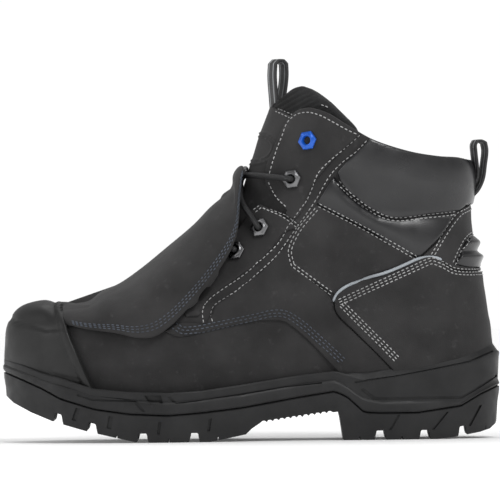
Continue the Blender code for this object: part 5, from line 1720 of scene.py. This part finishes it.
TONGUE_SEAMS = {
    "tongue_top": ((0.454, 1.215), (0.434, 1.200), (0.416, 1.185)),
    "tongue_low": ((0.455, 1.204), (0.436, 1.188), (0.420, 1.172)),
    "mesh_seam": ((0.3635, 1.223), (0.352, 1.216), (0.343, 1.208)),
}
WHITE_ROWS = (
    # seam, how far each row lies to the side of it, in mm
    ("strip_inner", (0,)), ("strip_outer", (0,)), ("eyestay_top", (0,)), ("eyestay_front", (0,)),
    ("lower_top", (0, 1.9)), ("ankle_top", (0, 1.9)), ("ankle_left", (0, 1.9)), ("collar_seam", (0, -1.9)),
    ("stay_front", (0, 1.9)), ("flex_window", (0, 1.7)), ("counter_top", (-0.8, 1.0, 2.8)),
    ("counter_front", (0.2, 2.0, 3.8)),
)
BLUE_ROWS = (("quarter_edge", (1.2, 3.2, 5.2)),)
dressed = surface_tree(
    quarters + ankles + eyestays_upper + eyestays_lower + crescents + [counter, stay, collar, upper, flex])
threads = []
for side, side_name in ((-1, "outer"), (1, "inner")):
    for rows, colour, finish in ((WHITE_ROWS, "white", THREAD_WHITE), (BLUE_ROWS, "blue", THREAD_BLUE)):
        seats_of = []
        for seam, shifts in rows:
            for shift in shifts:
                seats_of += stitch_seats(*seated(offset_line(SEAM_LINES[seam], shift / 1000), dressed, side))
        threads.append(thread(f"stitches_{colour}_{side_name}", seats_of, finish))
tongue_surface = surface_tree([facing, pad])
seats_of = []
for side in (-1, 1):
    for table in TONGUE_SEAMS.values():
        seats_of += stitch_seats(*seated(offset_line(table, 0.0), tongue_surface, side))
threads.append(thread("stitches_tongue", seats_of, THREAD_WHITE))

# %% [markdown]
# The guard's seams run parallel to its edge: three rows of blue-grey thread in a band along the
# sides and front. They follow the guard's own grid, so they are read from it directly.

# %% Guard seams and lip
GUARD_ROWS = (0.0026, 0.0042, 0.0058)
GUARD_SPAN = (0.03, 0.95)
GUARD_READINGS = 700


def guard_place(level, place):
    """Point and normal of the guard at shares of its length and width."""
    row = np.interp(level, down_steps, np.arange(len(down_steps)))
    column = np.interp(place, across_steps, np.arange(len(across_steps)))
    low_row, low_column = np.floor(row).astype(int), np.floor(column).astype(int)
    high_row = np.minimum(low_row + 1, len(down_steps) - 1)
    high_column = np.minimum(low_column + 1, len(across_steps) - 1)
    a, b = (row - low_row)[:, None], (column - low_column)[:, None]
    found = []
    for grid in (guard_grid, guard_normals):
        found.append(
            (grid[low_row, low_column] * (1 - b) + grid[low_row, high_column] * b) * (1 - a)
            + (grid[high_row, low_column] * (1 - b) + grid[high_row, high_column] * b) * a)
    return found


seats_of = []
level = np.linspace(*GUARD_SPAN, GUARD_READINGS)
middle = guard_place(level, np.zeros(GUARD_READINGS))[0]
for inset in GUARD_ROWS:
    for side in (-1, 1):
        edge = guard_place(level, np.full(GUARD_READINGS, side * 1.0))[0]
        place = side * (1 - inset / np.linalg.norm(edge - middle, axis=1))
        seats_of += stitch_seats(*guard_place(level, place))
threads.append(thread("stitches_guard", seats_of, THREAD_BLUE))
lip_path = guard_grid[-1, 3:-3] - guard_normals[-1, 3:-3] * 0.0004
lip = swept("guard_lip", through(lip_path[::4], 0.0009), 0.0021, SMOOTH_LEATHER, 20)
print("stitches:", sum(len(piece.data.polygons) for piece in threads))

# %% [markdown]
# A light piping is sewn in under the edge of the heel counter, where it shows as a thin line.

# %% Piping
PIPING_LINE = (
    (0.332, 0.497), (0.329, 0.521), (0.311, 0.550), (0.225, 0.602), (0.158, 0.649), (0.141, 0.6585),
    (0.1285, 0.6535),
    (0.117, 0.639),
)
SETTLED_OVER = 19
PIPING_EVERY = 8
pipings = []
for side, side_name in ((-1, "outer"), (1, "inner")):
    points, normals = seated(offset_line(PIPING_LINE, 0.0009), dressed, side)
    raised = points + normals * 0.0008
    # a moving average lets the cord bridge the steps of the leather below it
    spare = SETTLED_OVER // 2
    first, last = np.repeat(raised[:1], spare, axis=0), np.repeat(raised[-1:], spare, axis=0)
    raised = np.concatenate((first, raised, last))
    share = np.full(SETTLED_OVER, 1 / SETTLED_OVER)
    settled = np.stack([np.convolve(raised[:, axis], share, "valid") for axis in range(3)], axis=1)
    path = through(settled[::PIPING_EVERY], 0.0008)
    pipings.append(swept(f"piping_{side_name}", path, 0.00095, PIPING, 10))
print("pipings:", len(pipings))

# %% [markdown]
# Each piece is put on the root body, and the imported solids that it stands for are hidden.

# %% Attach each piece and hide the solids it stands for
SIDES = ("outer", "inner")
STANDS_FOR = [
    (upper, "nubuck", ["upper"]), (counter, "nubuck", ["heel_counter"]), (stay, "nubuck", ["back_stay"]),
    (guard, "nubuck", ["metatarsal_guard"]), (facing, "nubuck", ["tongue_facing"]),
    (collar, "smooth_leather", ["collar_pad"]), (flex, "smooth_leather", ["flex_pad"]),
    (lip, "smooth_leather", []),
    (bumper, "bumper_rubber", ["toe_bumper"]), (midsole, "sole_rubber", ["midsole"]),
    (outsole, "sole_rubber", ["outsole"]), (insole, "insole_felt", ["insole"]),
    (pad, "mesh_lining", ["tongue_pad"]),
    (tongue_loop, "webbing", ["tongue_loop"]), (heel_loop, "webbing", ["heel_loop"]),
    (laces[0], "lace_cord", ["lace_crossing"]), (laces[1], "lace_cord", ["lace_crossing"]),
    (laces[2], "lace_cord", ["lace_bar"]),
]
for number, side_name in enumerate(SIDES):
    STANDS_FOR += [
        (quarters[number], "nubuck", [f"quarter_{side_name}"]), (ankles[number], "nubuck", []),
        (eyestays_upper[number], "nubuck", [f"eyestay_upper_{side_name}"]),
        (eyestays_lower[number], "nubuck", [f"eyestay_lower_{side_name}"]),
        (crescents[number], "smooth_leather", [f"collar_crescent_{side_name}"]),
        (pipings[number], "webbing", []),
    ]
STANDS_FOR += [(piece, "lace_cord", []) for piece in threads]
for name, piece in eyelets.items():
    STANDS_FOR.append((piece, "blue_metal" if name.startswith("eyelet_1") else "gunmetal", [name]))
for piece, slot_name, nodes in STANDS_FOR:
    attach(piece, "root")
    if nodes:
        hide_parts(*nodes)
print("pieces:", len(STANDS_FOR))

# %% [markdown]
# A product photograph: a pale sweep without a horizon, one large soft light above, two at the
# sides and a pale surround. The camera stands well off with a long lens, level with the boot's
# middle, and is rolled a little as the photograph is.

# %% Floor, light and camera
bpy.ops.mesh.primitive_plane_add(size=14)
floor = bpy.context.object
floor.name = "floor"
FLOOR = bpy.data.materials.new("floor")
FLOOR.use_nodes = True
paint = FLOOR.node_tree.nodes["Principled BSDF"]
paint.inputs["Base Color"].default_value = (0.90, 0.90, 0.90, 1)
paint.inputs["Roughness"].default_value = 0.6
nodes, links = FLOOR.node_tree.nodes, FLOOR.node_tree.links
spot = nodes.new("ShaderNodeTexCoord")
far = nodes.new("ShaderNodeVectorMath")
far.operation = "LENGTH"
glow = nodes.new("ShaderNodeMapRange")
set_span(glow, 0.10, 1.0, 0.08, 0.56)
links.new(spot.outputs["Object"], far.inputs[0])
links.new(far.outputs["Value"], glow.inputs["Value"])
links.new(glow.outputs["Result"], paint.inputs["Emission Strength"])
paint.inputs["Emission Color"].default_value = (1, 1, 1, 1)
floor.data.materials.append(FLOOR)
world = bpy.data.worlds.new("studio")
bpy.context.scene.world = world
world.use_nodes = True
backdrop = world.node_tree.nodes["Background"]
backdrop.inputs["Color"].default_value = (1, 1, 1, 1)
way = world.node_tree.nodes.new("ShaderNodeTexCoord")
split = world.node_tree.nodes.new("ShaderNodeSeparateXYZ")
fade = world.node_tree.nodes.new("ShaderNodeMapRange")
set_span(fade, 0.06, 0.30, 1.02, 0.42)
world.node_tree.links.new(way.outputs["Generated"], split.inputs["Vector"])
world.node_tree.links.new(split.outputs["Z"], fade.inputs["Value"])
world.node_tree.links.new(fade.outputs["Result"], backdrop.inputs["Strength"])
bpy.context.scene.view_settings.view_transform = "Standard"
LIGHTS = (
    # name, place, size, watts
    ("key", (0.45, -1.0, 1.3), 0.6, 14),
    ("top", (-0.2, 0.5, 1.7), 1.4, 10),
    ("side", (-1.5, -0.5, 0.7), 0.7, 4),
)
AIM = Vector((-0.09, 0, 0.12))
for name, place, size, watts in LIGHTS:
    bpy.ops.object.light_add(type="AREA", location=place)
    lamp = bpy.context.object
    lamp.name = f"light_{name}"
    lamp.data.size = size
    lamp.data.energy = watts
    lamp.rotation_euler = (AIM - Vector(place)).to_track_quat("-Z", "Y").to_euler()
LENS = 600.0
SPAN = 0.3132
SENSOR = 36
ROLL = math.radians(-0.63)
distance = SPAN * LENS / SENSOR
bpy.ops.object.camera_add()
camera = bpy.context.object
camera.data.lens = LENS
camera.data.clip_end = 30
camera.matrix_world = (
    Matrix.Translation((-0.0936, -0.02 - distance, 0.1193)) @ Matrix.Rotation(math.radians(90), 4, "X")
    @ Matrix.Rotation(ROLL, 4, "Z"))
bpy.context.scene.camera = camera
print("camera distance:", round(distance, 3))
